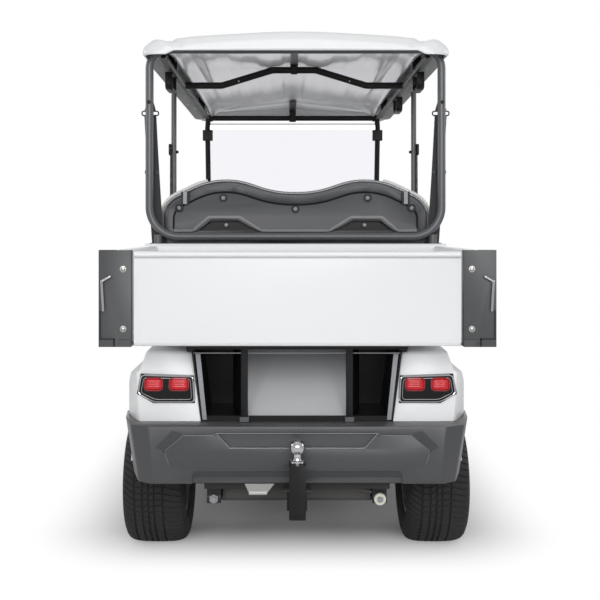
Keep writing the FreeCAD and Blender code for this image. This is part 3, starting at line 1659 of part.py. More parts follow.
top = SizeGroup(
    roof_rear=-21,
    roof_brow_rear=-4,
    roof_slope_rear=60,
    roof_rise_rear=330,
    roof_rise_front=1820,
    roof_slope_front=2090,
    roof_brow_front=2150,
    roof_front=2170,
    roof_end_drop=66,
    roof_brow_drop=46,
    roof_slope_drop=34,
    roof_rise_drop=8,
    roof_tail_half_width=553,
    roof_half_width=583,
    roof_low=1772,
    roof_tail_low=1751,
    roof_mouth_half_width=500,
    roof_mouth_low=1764,
    roof_lip_inset=6,
    roof_belly_height=1798,
    roof_brow_half_width=562,
    roof_brow_height=1836,
    roof_rim_half_width=528,
    roof_rim_height=1851,
    roof_gutter_outer=508,
    roof_gutter_inner=468,
    roof_gutter_height=1845,
    roof_deck_half_width=456,
    roof_deck_height=1855,
    roof_haunch_half_width=348,
    roof_haunch_height=1865,
    roof_quarter_half_width=169,
    roof_quarter_height=1875,
    roof_crown=1880,
    roof_wall=9,
    roof_corner=90,
    roof_flange_inner=506,
    roof_flange_sheet=6,
    tube_diameter=30,
    rail_diameter=20,
    middle_tube_diameter=25,
    hoop_along=97,
    hoop_half_width=560,
    hoop_low=1092,
    hoop_high=1790,
    hoop_bend=110,
    hoop_top_bend=70,
    hoop_post_across=513,
    hoop_bracket_across=300,
    hoop_bracket_width=40,
    rail_across=495,
    rail_height=1770,
    rail_front=2110,
    bow_along=833,
    bow_foot=327,
    bow_peak_half_width=98,
    bow_peak_height=1855,
    bow_bend=60,
    front_bow_along=2070,
    roof_bracket_width=35,
    middle_strut_along=1041,
    middle_strut_across=571,
    middle_strut_foot=530,
    middle_strut_knee=700,
    strut_bend=60,
    front_strut_across=502,
    front_strut_top_along=2085,
    front_strut_foot_along=2262,
    front_strut_foot=740,
    glass_top=1733,
    glass_bottom=930,
    glass_sheet=5,
)


def roof_section(inset, half_width, drop, low):
    """The roof's outline from behind, scaled to a half width and lowered by a drop.

    From the lip it runs up the rounded side, over a raised rim and the rain gutter
    inside it, and across a crowned deck.
    """
    scale = half_width / top.roof_half_width
    outline = [(half_width - top.roof_lip_inset - inset, below(low, inset)),
               (half_width - inset, top.roof_belly_height - drop / 2)]
    for across, height in ((top.roof_brow_half_width, top.roof_brow_height),
                           (top.roof_rim_half_width, top.roof_rim_height),
                           (top.roof_gutter_outer, top.roof_rim_height),
                           (top.roof_gutter_inner, top.roof_gutter_height),
                           (top.roof_deck_half_width, top.roof_deck_height),
                           (top.roof_haunch_half_width, top.roof_haunch_height),
                           (top.roof_quarter_half_width, top.roof_quarter_height)):
        outline.append((across * scale - inset, height - drop - inset))
    outline.append((0, top.roof_crown - drop - inset))
    return both_sides(outline)


def roof_hull(inset):
    """The roof's crowned form, or the hollow inside it drawn by inset."""
    tail, full = top.roof_tail_half_width, top.roof_half_width
    stations = [
        (top.roof_rear + inset, tail, top.roof_end_drop, top.roof_tail_low),
        (top.roof_brow_rear + inset, tail, top.roof_brow_drop, top.roof_tail_low),
        (top.roof_slope_rear, tail, top.roof_slope_drop, top.roof_low),
        (top.roof_rise_rear, full, top.roof_rise_drop, top.roof_low),
        (top.bow_along, full, 0, top.roof_low),
        (top.roof_rise_front, full, top.roof_rise_drop, top.roof_low),
        (top.roof_slope_front, full, top.roof_slope_drop, top.roof_low),
        (top.roof_brow_front - inset, full, top.roof_brow_drop, top.roof_low),
        (top.roof_front - inset, full, top.roof_end_drop, top.roof_low),
    ]
    crown = loft("roof_crown", "rear", [
        (along, roof_section(inset, half_width, as_length(drop), low))
        for along, half_width, drop, low in stations])
    plan = slab("roof_plan", "top", both_sides([
        (tail - inset, top.roof_rear + inset, top.roof_corner),
        (full - inset, top.roof_rise_rear, full),
        (full - inset, top.roof_front - inset, top.roof_corner),
    ]), top.roof_low - top.roof_corner, top.roof_crown + top.roof_corner)
    return overlap("roof_hull", [crown, plan])


roof_outside = roof_hull(nothing)
roof_inside = roof_hull(top.roof_wall)


def make_roof():
    """The hollow roof with a flange turned in along each side for the struts."""
    shell = carve("roof_shell", roof_outside, [roof_inside])
    behind_hoop = top.hoop_along + top.tube_diameter / 2 + cart.seat_gap
    strip = box("flange_strip", (top.roof_flange_inner, top.roof_half_width),
                (behind_hoop, top.roof_slope_front),
                (top.roof_low, top.roof_low + top.roof_flange_sheet))
    flange = overlap("roof_flange", [strip, roof_outside])
    mouth = box("roof_mouth", (-top.roof_mouth_half_width, top.roof_mouth_half_width),
                (top.roof_rear - top.roof_wall, top.roof_rear + top.roof_wall * 2),
                (top.roof_tail_low - top.roof_wall, top.roof_mouth_low))
    return carve("roof_panel", join("roof_with_flanges", [shell, flange, mirrored(flange)]),
                 [mouth])


def make_roof_frame():
    """Side rails and cross bows, with short brackets up to the roof's underside."""
    radius = top.tube_diameter / 2
    rear = top.hoop_along + radius + cart.seat_gap
    side = rod("roof_rail", "y", top.rail_diameter / 2,
               (top.rail_across, rear, top.rail_height), top.rail_front - rear)
    pieces = [side, mirrored(side)]
    level = top.rail_height
    pieces.append(tube("middle_bow", [
        spot(-top.rail_across, top.bow_along, level),
        spot(-top.bow_foot, top.bow_along, level),
        spot(-top.bow_peak_half_width, top.bow_along, top.bow_peak_height - radius),
        spot(top.bow_peak_half_width, top.bow_along, top.bow_peak_height - radius),
        spot(top.bow_foot, top.bow_along, level),
        spot(top.rail_across, top.bow_along, level),
    ], radius, top.bow_bend))
    pieces.append(rod("front_bow", "x", radius,
                      (-top.rail_across, top.front_bow_along, level), top.rail_across * 2))
    half = top.roof_bracket_width / 2
    for across, along, low in ((nothing, top.front_bow_along, level),
                               (nothing, top.bow_along, top.bow_peak_height - radius),
                               (top.rail_across, top.bow_along / 2, level),
                               (-top.rail_across, top.bow_along / 2, level),
                               (top.rail_across, top.bow_along * 2, level),
                               (-top.rail_across, top.bow_along * 2, level)):
        post = box("roof_post", (across - half, across + half), (along - half, along + half),
                   (low, top.roof_crown + radius))
        pieces.append(overlap("roof_bracket", [post, roof_inside]))
    return carve("roof_frame", join("roof_bars", pieces),
                 [flange_sleeve(), mirrored(flange_sleeve())])


def flange_sleeve():
    """The space of one roof flange with its clearance, down to what hangs under it."""
    return box("flange_sleeve", (top.roof_flange_inner - cart.seat_gap, top.roof_half_width),
               (top.roof_rear, top.roof_front),
               (top.roof_low - cart.seat_gap,
                top.roof_low + top.roof_flange_sheet + cart.seat_gap))


def rail_sleeve(across):
    """The roof rail with its clearance, which whatever meets the rail ends at."""
    return rod("rail_sleeve", "y", top.rail_diameter / 2 + cart.seat_gap,
               (across, nothing, top.rail_height), top.roof_front)


def make_rear_hoop():
    """One closed loop of tube on two posts, with brackets to the seatback."""
    radius = top.tube_diameter / 2
    across = top.hoop_half_width - radius
    along = top.hoop_along
    loop = tube("hoop", [
        spot(0, along, top.hoop_low), spot(across, along, top.hoop_low),
        spot(across, along, top.hoop_high), spot(-across, along, top.hoop_high),
        spot(-across, along, top.hoop_low), spot(0, along, top.hoop_low),
    ], radius, top.hoop_bend, top.hoop_top_bend, top.hoop_top_bend, top.hoop_bend)
    post = rod("hoop_post", "z", radius, (top.hoop_post_across, along, body.seat_deck),
               top.hoop_low - body.seat_deck + radius / 2)
    half = top.hoop_bracket_width / 2
    stay = box("hoop_stay", (top.hoop_bracket_across - half, top.hoop_bracket_across + half),
               (along, seat.shell_rear), (top.hoop_low - radius / 2, top.hoop_low + radius / 2))
    return join("rear_hoop", [loop, post, mirrored(post), stay, mirrored(stay)])


def make_middle_struts():
    """A tube up each side, from the floor's edge to the roof rail."""
    along = top.middle_strut_along
    strut = tube("middle_strut", [
        spot(top.middle_strut_foot, along, cart.floor_top),
        spot(top.middle_strut_foot, along, cart.floor_top + top.strut_bend),
        spot(top.middle_strut_across, along, top.middle_strut_knee),
        spot(top.middle_strut_across, along, top.roof_low - cart.seat_gap),
    ], top.middle_tube_diameter / 2, top.strut_bend)
    return pair("middle_struts", strut)


def make_front_struts():
    """Raked tubes that carry the windshield and the roof's front end."""
    strut = tube("front_strut", [
        spot(top.front_strut_across, top.front_strut_foot_along, top.front_strut_foot),
        spot(top.front_strut_across, top.front_strut_top_along, top.rail_height - top.strut_bend),
        spot(top.rail_across, top.front_strut_top_along - top.tube_diameter, top.rail_height),
    ], top.tube_diameter / 2, top.strut_bend / 2)
    bow_sleeve = rod("bow_sleeve", "x", top.tube_diameter / 2 + cart.seat_gap,
                     (nothing, top.front_bow_along, top.rail_height), top.rail_across)
    seated = carve("seated_front_strut", strut,
                   [rail_sleeve(top.rail_across), bow_sleeve, flange_sleeve(),
                    cowl_hull(-cart.seat_gap)])
    return pair("front_struts", seated)


def strut_line(height):
    """How far forward the front strut's centre lies at a height."""
    low, high = top.front_strut_foot, top.rail_height - top.strut_bend
    share = (height - low) / (high - low)
    return top.front_strut_foot_along + (
        top.front_strut_top_along - top.front_strut_foot_along) * share


def make_windshield():
    """A flat clear pane between the front struts."""
    half = top.front_strut_across - top.tube_diameter / 2 - cart.seat_gap
    pane = slab("windshield", "side", [
        (strut_line(top.glass_bottom), top.glass_bottom),
        (strut_line(top.glass_bottom) + top.glass_sheet, top.glass_bottom),
        (strut_line(top.glass_top) + top.glass_sheet, top.glass_top),
        (strut_line(top.glass_top), top.glass_top),
    ], -half, half)
    return pane


# Seats, seatbacks, arm rests and belts

seat = SizeGroup(
    shell_rear=151,
    shell_sheet=18,
    shell_half_width=508,
    shell_low=770,
    shell_foot_round=30,
    shell_shoulder=1222,
    shell_shoulder_round=100,
    shell_hump=1306,
    shell_hump_outer=330,
    shell_hump_inner=215,
    shell_hump_round=290,
    shell_dip=1259,
    shell_dip_across=75,
    shell_dip_round=400,
    shoulder_share=0.63,
    hump_outer_share=0.22,
    hump_inner_share=0.16,
    panel_inset=48,
    panel_low=1120,
    panel_relief=4,
    ledge_low=1112,
    ledge_relief=12,
    arch_foot_outer=388,
    arch_foot_inner=127,
    arch_top_outer=328,
    arch_top_inner=210,
    arch_top=1165,
    arch_frame=15,
    arch_depth=10,
    backrest_grow=5,
    cushion_half_width=500,
    cushion_thickness=100,
    cushion_front_round=40,
    cushion_edge_round=22,
    rear_cushion_front=650,
    backrest_thickness=72,
    backrest_taper=30,
    front_shell_low=560,
    front_shell_top=1180,
    front_cushion_front=1572,
    front_cushion_rear=1120,
    front_backrest_low=874,
    arm_tube_diameter=24,
    arm_bend=60,
    front_arm_along=1470,
    front_arm_foot=600,
    front_arm_height=850,
    rear_arm_along=560,
    rear_arm_across=526,
    rear_arm_height=960,
)


front_shell_rear = cabin.seat_base_rear - seat.shell_sheet - cart.seat_gap


def seatback_outline(margin, low, rise):
    """A seatback's outline with its waved top edge, drawn inwards by a margin."""
    half = seat.shell_half_width - margin
    crest = seat.shell_hump + rise - margin
    return both_sides([
        (half, low, seat.shell_foot_round),
        (half, seat.shell_shoulder + rise - margin * seat.shoulder_share,
         seat.shell_shoulder_round - margin),
        (seat.shell_hump_outer - margin * seat.hump_outer_share, crest,
         seat.shell_hump_round - margin),
        (seat.shell_hump_inner + margin * seat.hump_inner_share, crest,
         seat.shell_hump_round - margin),
        (seat.shell_dip_across + margin * seat.hump_inner_share,
         seat.shell_dip + rise - margin, seat.shell_dip_round + margin),
    ])


def arch_outline(margin):
    """The trapezoid over a hoop bracket, drawn inwards by a margin."""
    return [
        (seat.arch_foot_inner + margin, seat.ledge_low),
        (seat.arch_foot_outer - margin, seat.ledge_low),
        (seat.arch_top_outer - margin / 2, seat.arch_top - margin),
        (seat.arch_top_inner + margin / 2, seat.arch_top - margin),
    ]


def make_rear_shell():
    """The rear seatback's shell: a sunk back panel, a ledge and an arch at each side."""
    rear, front = seat.shell_rear, seat.shell_rear + seat.shell_sheet
    back = rear - seat.ledge_relief
    whole = slab("seatback_shell", "rear",
                 seatback_outline(nothing, seat.shell_low, nothing), rear, front)
    sunk = slab("back_panel", "rear",
                seatback_outline(seat.panel_inset, seat.panel_low, nothing),
                rear - seat.panel_relief, rear + seat.panel_relief)
    reach = seat.shell_half_width - seat.panel_inset
    ledge = box("ledge", (-reach, reach), (back, rear + seat.panel_relief * 2),
                (seat.ledge_low, seat.panel_low))
    arch = slab("arch", "rear", arch_outline(nothing), back,
                rear + seat.panel_relief * 2)
    mouth = slab("arch_mouth", "rear", arch_outline(seat.arch_frame),
                 back - seat.arch_depth, rear + seat.arch_depth)
    solid = join("shell_with_arches", [carve("sunk_shell", whole, [sunk]), ledge, arch,
                                       mirrored(arch)])
    return carve("rear_seat_shell", solid, [mouth, mirrored(mouth)])


def make_backrest(rear, low, rise):
    """A padded back that thins towards its top and follows the shell's wave."""
    thick = seat.backrest_thickness
    high = seat.shell_hump + seat.backrest_grow + rise
    side = slab("backrest_side", "side", [
        (rear, low),
        (rear + thick, low, seat.cushion_edge_round),
        (rear + thick - seat.backrest_taper, high, seat.cushion_edge_round),
        (rear, high),
    ], -seat.shell_half_width * 2, seat.shell_half_width * 2)
    wave = slab("backrest_wave", "rear",
                seatback_outline(-seat.backrest_grow, low - seat.shell_foot_round, rise),
                rear - thick, rear + thick * 2)
    return overlap("backrest", [side, wave])


def make_cushion(rear, front, low):
    """A bench cushion with a rolled front edge."""
    high = low + seat.cushion_thickness
    return slab("cushion", "side", [
        (rear, low),
        (front - seat.cushion_edge_round, low, seat.cushion_edge_round / 2),
        (front, high, seat.cushion_front_round),
        (rear, high - seat.cushion_edge_round, seat.cushion_edge_round),
    ], -seat.cushion_half_width, seat.cushion_half_width)


def make_arms():
    """A tubular arm rest at each end of both benches."""
    radius = seat.arm_tube_diameter / 2
    across = cabin.seat_base_half_width + radius + cart.seat_gap
    front = tube("front_arm", [
        spot(across, seat.front_arm_along, seat.front_arm_foot),
        spot(across, seat.front_arm_along, seat.front_arm_height),
        spot(across, front_shell_rear, seat.front_arm_height),
    ], radius, seat.arm_bend)
    front_pin = rod("front_arm_pin", "x", radius / 2,
                    (seat.shell_half_width, front_shell_rear + seat.shell_sheet / 2,
                     seat.front_arm_height), across - seat.shell_half_width)
    outer = seat.rear_arm_across
    rear = tube("rear_arm", [
        spot(outer, seat.rear_arm_along, body.flare_height),
        spot(outer, seat.rear_arm_along, seat.rear_arm_height),
        spot(outer, seat.shell_rear, seat.rear_arm_height),
    ], radius, seat.arm_bend)
    rear_pin = rod("rear_arm_pin", "x", radius / 2,
                   (seat.shell_half_width, seat.shell_rear + seat.shell_sheet / 2,
                    seat.rear_arm_height), outer - seat.shell_half_width)
    arms = []
    for arm, pin in ((front, front_pin), (rear, rear_pin)):
        whole = join("arm_rest", [arm, pin])
        if arm is rear:
            whole = carve("seated_arm_rest", whole, [rear_hull(-cart.seat_gap)])
        arms += [whole, mirrored(whole)]
    return group("arm_rests", arms)


front_rise = seat.front_shell_top - seat.shell_hump
sub_part("rear_seat_shell", make_rear_shell())
sub_part("front_seat_shell", slab("front_seat_shell", "rear", seatback_outline(
    nothing, seat.front_shell_low, front_rise),
    front_shell_rear, front_shell_rear + seat.shell_sheet))
sub_part("rear_backrest", make_backrest(
    seat.shell_rear + seat.shell_sheet + cart.seat_gap,
    body.seat_deck + seat.cushion_thickness + cart.seat_gap, nothing))
sub_part("front_backrest", make_backrest(
    front_shell_rear + seat.shell_sheet + cart.seat_gap,
    seat.front_backrest_low, front_rise))
sub_part("rear_seat_cushion", make_cushion(
    seat.shell_rear + seat.shell_sheet + cart.seat_gap, seat.rear_cushion_front,
    body.seat_deck + cart.seat_gap))
sub_part("front_seat_cushion", make_cushion(
    seat.front_cushion_rear, seat.front_cushion_front,
    cabin.seat_base_top + cart.seat_gap))
sub_part("arm_rests", make_arms())

sub_part("roof_panel", make_roof())
sub_part("roof_frame", make_roof_frame())
sub_part("rear_hoop", make_rear_hoop())
sub_part("middle_struts", make_middle_struts())
sub_part("front_struts", make_front_struts())
sub_part("windshield", make_windshield())


belt = SizeGroup(
    belt_width=46,
    belt_thickness=2.5,
    belt_bend=12,
    rear_anchor_height=1562,
    anchor_sheet=4,
    anchor_half_width=22,
    anchor_neck=8,
    anchor_height=50,
    ring_half_width=32,
    ring_half_height=8,
    ring_wire_diameter=5,
    cover_height=54,
    cover_length=56,
    cover_depth=9.5,
    cover_round=18,
    reel_size=64,
    reel_depth=32,
    rear_reel_across=516,
    rear_reel_top=1068,
    front_anchor_height=1524,
    handle_inner=507,
    handle_width=30,
    handle_half_length=75,
    handle_drop=72,
    handle_bar=14,
    handle_bend=26,
    handle_rear_along=540,
    handle_front_along=1263,
    pedal_across=200,
    pedal_spacing=120,
    pedal_width=70,
    pedal_height=90,
    pedal_sheet=12,
    pedal_along=2040,
    pedal_rise=60,
)


def make_belts():
    """Shoulder belts: an anchor on each upright and the webbing down to its reel."""
    radius = top.tube_diameter / 2
    face = Vector(1, 0, 0)
    pieces = []
    hoop_face = top.hoop_along + radius + cart.seat_gap
    web_along = hoop_face + belt.ring_wire_diameter / 2
    height = belt.rear_anchor_height
    across = top.hoop_half_width - radius
    anchor = slab("rear_anchor", "rear", [
        (across - belt.anchor_half_width, height), (across + belt.anchor_half_width, height),
        (across + belt.anchor_neck, height + belt.anchor_height),
        (across - belt.anchor_neck, height + belt.anchor_height),
    ], hoop_face, hoop_face + belt.anchor_sheet)
    middle = height - belt.ring_half_height
    round_the_slot = ((0, -1), (1, -1), (1, 1), (-1, 1), (-1, -1), (0, -1))
    ring = tube("belt_ring", [
        spot(across + belt.ring_half_width * out, web_along,
             middle + belt.ring_half_height * up) for out, up in round_the_slot
    ], belt.ring_wire_diameter / 2, belt.ring_wire_diameter)
    reel = box("rear_reel", (belt.rear_reel_across - belt.reel_size / 2,
                             belt.rear_reel_across + belt.reel_size / 2),
               (hoop_face, hoop_face + belt.reel_depth),
               (belt.rear_reel_top - belt.reel_size, belt.rear_reel_top))
    web = strap("rear_web", [
        spot(across, web_along, middle - belt.ring_half_height),
        spot(belt.rear_reel_across, web_along, belt.rear_reel_top - belt.anchor_sheet),
    ], belt.belt_width, belt.belt_thickness, face, belt.belt_bend)
    rear = join("rear_belt", [anchor, ring, reel, web])
    pieces += [rear, mirrored(rear)]
    outer = top.middle_strut_across + top.middle_tube_diameter / 2 + cart.seat_gap
    high = belt.front_anchor_height
    half = belt.cover_length / 2
    cover = slab("front_anchor", "side", [
        (top.middle_strut_along - half, high - belt.cover_height, belt.cover_round),
        (top.middle_strut_along + half, high - belt.cover_height, belt.cover_round),
        (top.middle_strut_along + half, high, belt.cover_round),
        (top.middle_strut_along - half, high, belt.cover_round),
    ], outer, outer + belt.cover_depth)
    foot = body.seat_deck
    front_web = strap("front_web", [
        spot(outer + belt.anchor_sheet / 2, top.middle_strut_along, high - belt.cover_height / 2),
        spot(outer + belt.anchor_sheet / 2, top.middle_strut_along, foot),
    ], belt.belt_width, belt.belt_thickness, Vector(0, 1, 0), belt.belt_bend)
    front = join("front_belt", [cover, front_web])
    pieces += [front, mirrored(front)]
    return group("seat_belts", pieces)


def handle_outline(along, margin):
    """A handle's rounded loop seen from the side, drawn inwards by a margin."""
    half = belt.handle_half_length - margin
    high = top.roof_low - cart.seat_gap
    low = high - belt.handle_drop + margin
    return [(along - half, high), (along - half, low, belt.handle_bend),
            (along + half, low, belt.handle_bend), (along + half, high)]


def make_handles():
    """Moulded grab handles under the roof's flanges, one of them for the front seat."""
    handles = []
    for along in (belt.handle_rear_along, belt.handle_front_along):
        start, end = belt.handle_inner, belt.handle_inner + belt.handle_width
        outer = slab("handle_outer", "side", handle_outline(along, nothing), start, end)
        inner = slab("handle_inner", "side", handle_outline(along, belt.handle_bar),
                     start - belt.handle_bar, end + belt.handle_bar)
        handles.append(carve("grab_handle", outer, [inner]))
    return group("grab_handles", handles + [mirrored(handles[0])])


def make_pedals():
    """Accelerator and brake pads on arms from the toe board."""
    pedals = []
    for index in (0, 1):
        across = -belt.pedal_across - belt.pedal_spacing * index
        half = belt.pedal_width / 2
        low = cart.floor_top + belt.pedal_rise
        pad_ = box("pedal_pad", (across - half, across + half),
                   (belt.pedal_along - belt.pedal_sheet * 3,
                    belt.pedal_along - belt.pedal_sheet * 2),
                   (low, low + belt.pedal_height))
        toe = slab("pedal_arm", "side", [
            (belt.pedal_along - belt.pedal_sheet * 3, low + belt.pedal_height / 2),
            (cabin.toe_start + belt.pedal_rise, low - belt.pedal_sheet * 2),
            (cabin.toe_start + belt.pedal_rise * 2, low + belt.pedal_height),
        ], across - belt.pedal_sheet / 2, across + belt.pedal_sheet / 2)
        pedals.append(carve("pedal", join("pedal_solid", [pad_, toe]),
                            [beyond_toe_board("pedal_seat", half, across)]))
    return group("pedals", pedals)


sub_part("seat_belts", make_belts())
sub_part("grab_handles", make_handles())
sub_part("pedals", make_pedals())


# Check and write the sub-parts

def check_and_write():
    """Stop on any failed object, then write each sub-part to its own file."""
    doc.recompute()
    for item in doc.Objects:
        if "Invalid" in item.State or "Error" in item.State:
            raise RuntimeError("%s failed: %s" % (item.Label, item.State))
    labels = [piece.Label for piece in SUB_PARTS]
    if len(set(labels)) != len(labels):
        raise RuntimeError("two sub-parts share a label")
    for piece in SUB_PARTS:
        if piece.Shape.isNull() or not piece.Shape.isValid():
            raise RuntimeError("%s has no valid shape" % piece.Label)
        print("%-24s %2d solids %9.1f cm3" % (piece.Label, len(piece.Shape.Solids),
                                              piece.Shape.Volume / 1000))
    for piece in SUB_PARTS:
        piece.Shape.exportStep("parts/%s.step" % piece.Label)


check_and_write()
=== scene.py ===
# %% [markdown]
# A golf cart seen from straight behind.
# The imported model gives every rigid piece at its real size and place. This lesson dresses
# it: first come the finishes, then the tools for meshes, and then the pieces whose look a
# plain solid can't give, such as tread, upholstery and webbing. Every length is in metres,
# with X to the cart's right, Y forward and Z up.

import json
import math

import bmesh
import bpy
import numpy as np
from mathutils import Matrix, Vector
from mathutils.bvhtree import BVHTree


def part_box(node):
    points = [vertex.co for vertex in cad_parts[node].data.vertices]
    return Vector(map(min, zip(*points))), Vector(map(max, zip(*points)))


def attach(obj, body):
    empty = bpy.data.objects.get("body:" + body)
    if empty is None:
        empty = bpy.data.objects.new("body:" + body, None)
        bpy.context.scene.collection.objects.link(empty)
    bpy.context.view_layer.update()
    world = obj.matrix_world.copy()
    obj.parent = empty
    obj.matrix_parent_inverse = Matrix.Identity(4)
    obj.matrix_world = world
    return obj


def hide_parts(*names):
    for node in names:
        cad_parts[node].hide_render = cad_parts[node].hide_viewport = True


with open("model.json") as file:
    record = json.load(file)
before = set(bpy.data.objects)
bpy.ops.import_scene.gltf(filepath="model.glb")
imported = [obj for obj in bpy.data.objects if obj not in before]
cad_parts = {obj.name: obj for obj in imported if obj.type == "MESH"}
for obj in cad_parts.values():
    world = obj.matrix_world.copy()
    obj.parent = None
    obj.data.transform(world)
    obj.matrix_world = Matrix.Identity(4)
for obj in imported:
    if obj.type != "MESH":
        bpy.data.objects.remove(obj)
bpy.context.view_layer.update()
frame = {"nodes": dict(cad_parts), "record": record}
nodes = frame["nodes"]
AXLE = -1.0915
SIDES = (-1, 1)


def corners(box):
    """A pair of corner vectors as plain lists of numbers."""
    return [[float(value) for value in corner] for corner in box]


# %% [markdown]
# The lens is long enough to keep the tail square to the picture, and it stands low, at
# about the height of the cargo box. The camera looks level, so a small shift, as a view
# camera has, brings the cart to the middle of the frame instead of a tilt, which would
# make the uprights lean. AXLE is the rear axle's place along Y, the origin of most sizes.

# %% Camera
PICTURE, SENSOR, FOCAL = 600, 36.0, 915.0
HORIZON_ROW, VANISHING_COLUMN = 228.0, 287.5
EYE = (-0.030, -4.4105, 1.124)

camera_data = bpy.data.cameras.new("camera")
camera_data.sensor_width = SENSOR
camera_data.lens = SENSOR * FOCAL / PICTURE
camera_data.shift_x = (PICTURE / 2 - VANISHING_COLUMN) / PICTURE
camera_data.shift_y = (HORIZON_ROW - PICTURE / 2) / PICTURE
camera = bpy.data.objects.new("camera", camera_data)
camera.location = EYE
camera.rotation_euler = (math.radians(90), 0, 0)
bpy.context.scene.collection.objects.link(camera)
bpy.context.scene.camera = camera
bpy.context.scene.view_settings.view_transform = "Standard"
print("lens", round(camera_data.lens, 1), "mm")

# %% [markdown]
# Effects that several finishes share are shader node groups. Moulded grain is a field of
# small cells with soft noise between them. Tone is a slow variation that keeps a large
# panel from looking like flat paint. Dust gathers where a surface faces the sky.

# %% Shared effects
def add(tree, kind, inputs=None, **settings):
    """A node of this kind; an input is given as a socket to link or as a plain value."""
    node = tree.nodes.new("ShaderNode" + kind)
    for key, value in settings.items():
        setattr(node, key, value)
    for key, value in (inputs or {}).items():
        if isinstance(value, bpy.types.NodeSocket):
            tree.links.new(value, node.inputs[key])
        else:
            node.inputs[key].default_value = value
    return node


def math_node(tree, operation, first, second=0.0):
    """The result of a math node."""
    return add(tree, "Math", {0: first, 1: second}, operation=operation).outputs[0]


def mixed(tree, factor, low, high):
    """A colour between two colours, following a factor."""
    inputs = {"Factor": factor, "A": low, "B": high}
    return add(tree, "Mix", inputs, data_type="RGBA").outputs["Result"]


def own_place(tree):
    """The place on the object itself, so that a pattern moves with its piece."""
    return add(tree, "TexCoord").outputs["Object"]


def noise(tree, scale, detail):
    """Soft noise from 0 to 1."""
    inputs = {"Vector": own_place(tree), "Scale": scale, "Detail": detail}
    return add(tree, "TexNoise", inputs).outputs[0]


def new_group(name, inputs, result, build):
    """A shader node group with float inputs, whose result is what build makes of them."""
    tree = bpy.data.node_groups.new(name, "ShaderNodeTree")
    for label, value in inputs.items():
        socket = tree.interface.new_socket(label, in_out="INPUT",
                                           socket_type="NodeSocketFloat")
        socket.default_value = value
    tree.interface.new_socket(result, in_out="OUTPUT", socket_type="NodeSocketFloat")
    given = tree.nodes.new("NodeGroupInput").outputs
    tree.links.new(build(tree, given), tree.nodes.new("NodeGroupOutput").inputs[result])
    return tree


def grain_height(tree, given):
    """Rounded cells, plus finer noise times its softness."""
    cells = add(tree, "TexVoronoi", {"Vector": own_place(tree), "Scale": given["Scale"]},
                feature="SMOOTH_F1")
    fine = math_node(tree, "MULTIPLY", noise(tree, given["Scale"], 3.0), given["Softness"])
    return math_node(tree, "ADD", cells.outputs["Distance"], fine)


def cloudy_tone(tree, given):
    """0.7 times slow noise plus 0.3 times finer noise."""
    slow = math_node(tree, "MULTIPLY", noise(tree, given["Scale"], 2.0), 0.7)
    fine = math_node(tree, "MULTIPLY", noise(tree, given["Fine"], 4.0), 0.3)
    return math_node(tree, "ADD", fine, slow)


def settled_dust(tree, given):
    """The upward share of the normal (at least 0.15), times patches, times the amount."""
    facing = add(tree, "SeparateXYZ", {0: add(tree, "NewGeometry").outputs["Normal"]})
    sky = math_node(tree, "MAXIMUM", facing.outputs["Z"], 0.15)
    patchy = math_node(tree, "MULTIPLY", sky, noise(tree, given["Scale"], 5.0))
    return math_node(tree, "MULTIPLY", patchy, given["Amount"])


GRAIN = new_group("moulded_grain", {"Scale": 900.0, "Softness": 0.35}, "Height", grain_height)
TONE = new_group("tone", {"Scale": 2.5, "Fine": 38.0}, "Tone", cloudy_tone)
DUST = new_group("dust", {"Amount": 0.3, "Scale": 14.0}, "Dust", settled_dust)
print("shared effects:", [tree.name for tree in (GRAIN, TONE, DUST)])

# %% [markdown]
# A finish is one Principled shader. Its plain numbers are set on its own sockets; what
# varies over the surface comes in through links: a colour that drifts a little with tone
# and dust, a roughness that does the same, and a bump from grain.

# %% Finishes
DUST_COLOUR = (0.42, 0.40, 0.37, 1)


def new_finish(name, colour, drift, roughness, grain=None, dust=0.0, sockets=None,
               tone_scale=2.5):
    """A procedural finish.

    colour drifts by a share of itself, roughness runs between its two limits, and grain
    is (cells per metre, depth in metres), or None for a smooth surface. The denoiser treats
    a surface as a mirror below a roughness of 0.27, so no pair of limits spans that value.
    """
    material = bpy.data.materials.new(name)
    material.use_nodes = True
    tree = material.node_tree
    shader = tree.nodes["Principled BSDF"]
    for label, value in (sockets or {}).items():
        shader.inputs[label].default_value = value
    tone = add(tree, "Group", {"Scale": tone_scale}, node_tree=TONE).outputs["Tone"]
    low, high = [[min(1.0, channel * share) for channel in colour] + [1]
                 for share in (1 - drift, 1 + drift)]
    base = mixed(tree, tone, low, high)
    if dust:
        layer = add(tree, "Group", {"Amount": dust}, node_tree=DUST).outputs["Dust"]
        base = mixed(tree, layer, base, DUST_COLOUR)
    tree.links.new(base, shader.inputs["Base Color"])
    rough = add(tree, "MapRange", {"Value": tone, "To Min": roughness[0],
                                   "To Max": roughness[1]}).outputs["Result"]
    tree.links.new(rough, shader.inputs["Roughness"])
    if grain:
        cells, depth = grain
        height = add(tree, "Group", {"Scale": cells}, node_tree=GRAIN).outputs["Height"]
        bump = add(tree, "Bump", {"Strength": 1.0, "Distance": depth, "Height": height})
        tree.links.new(bump.outputs["Normal"], shader.inputs["Normal"])
    return material


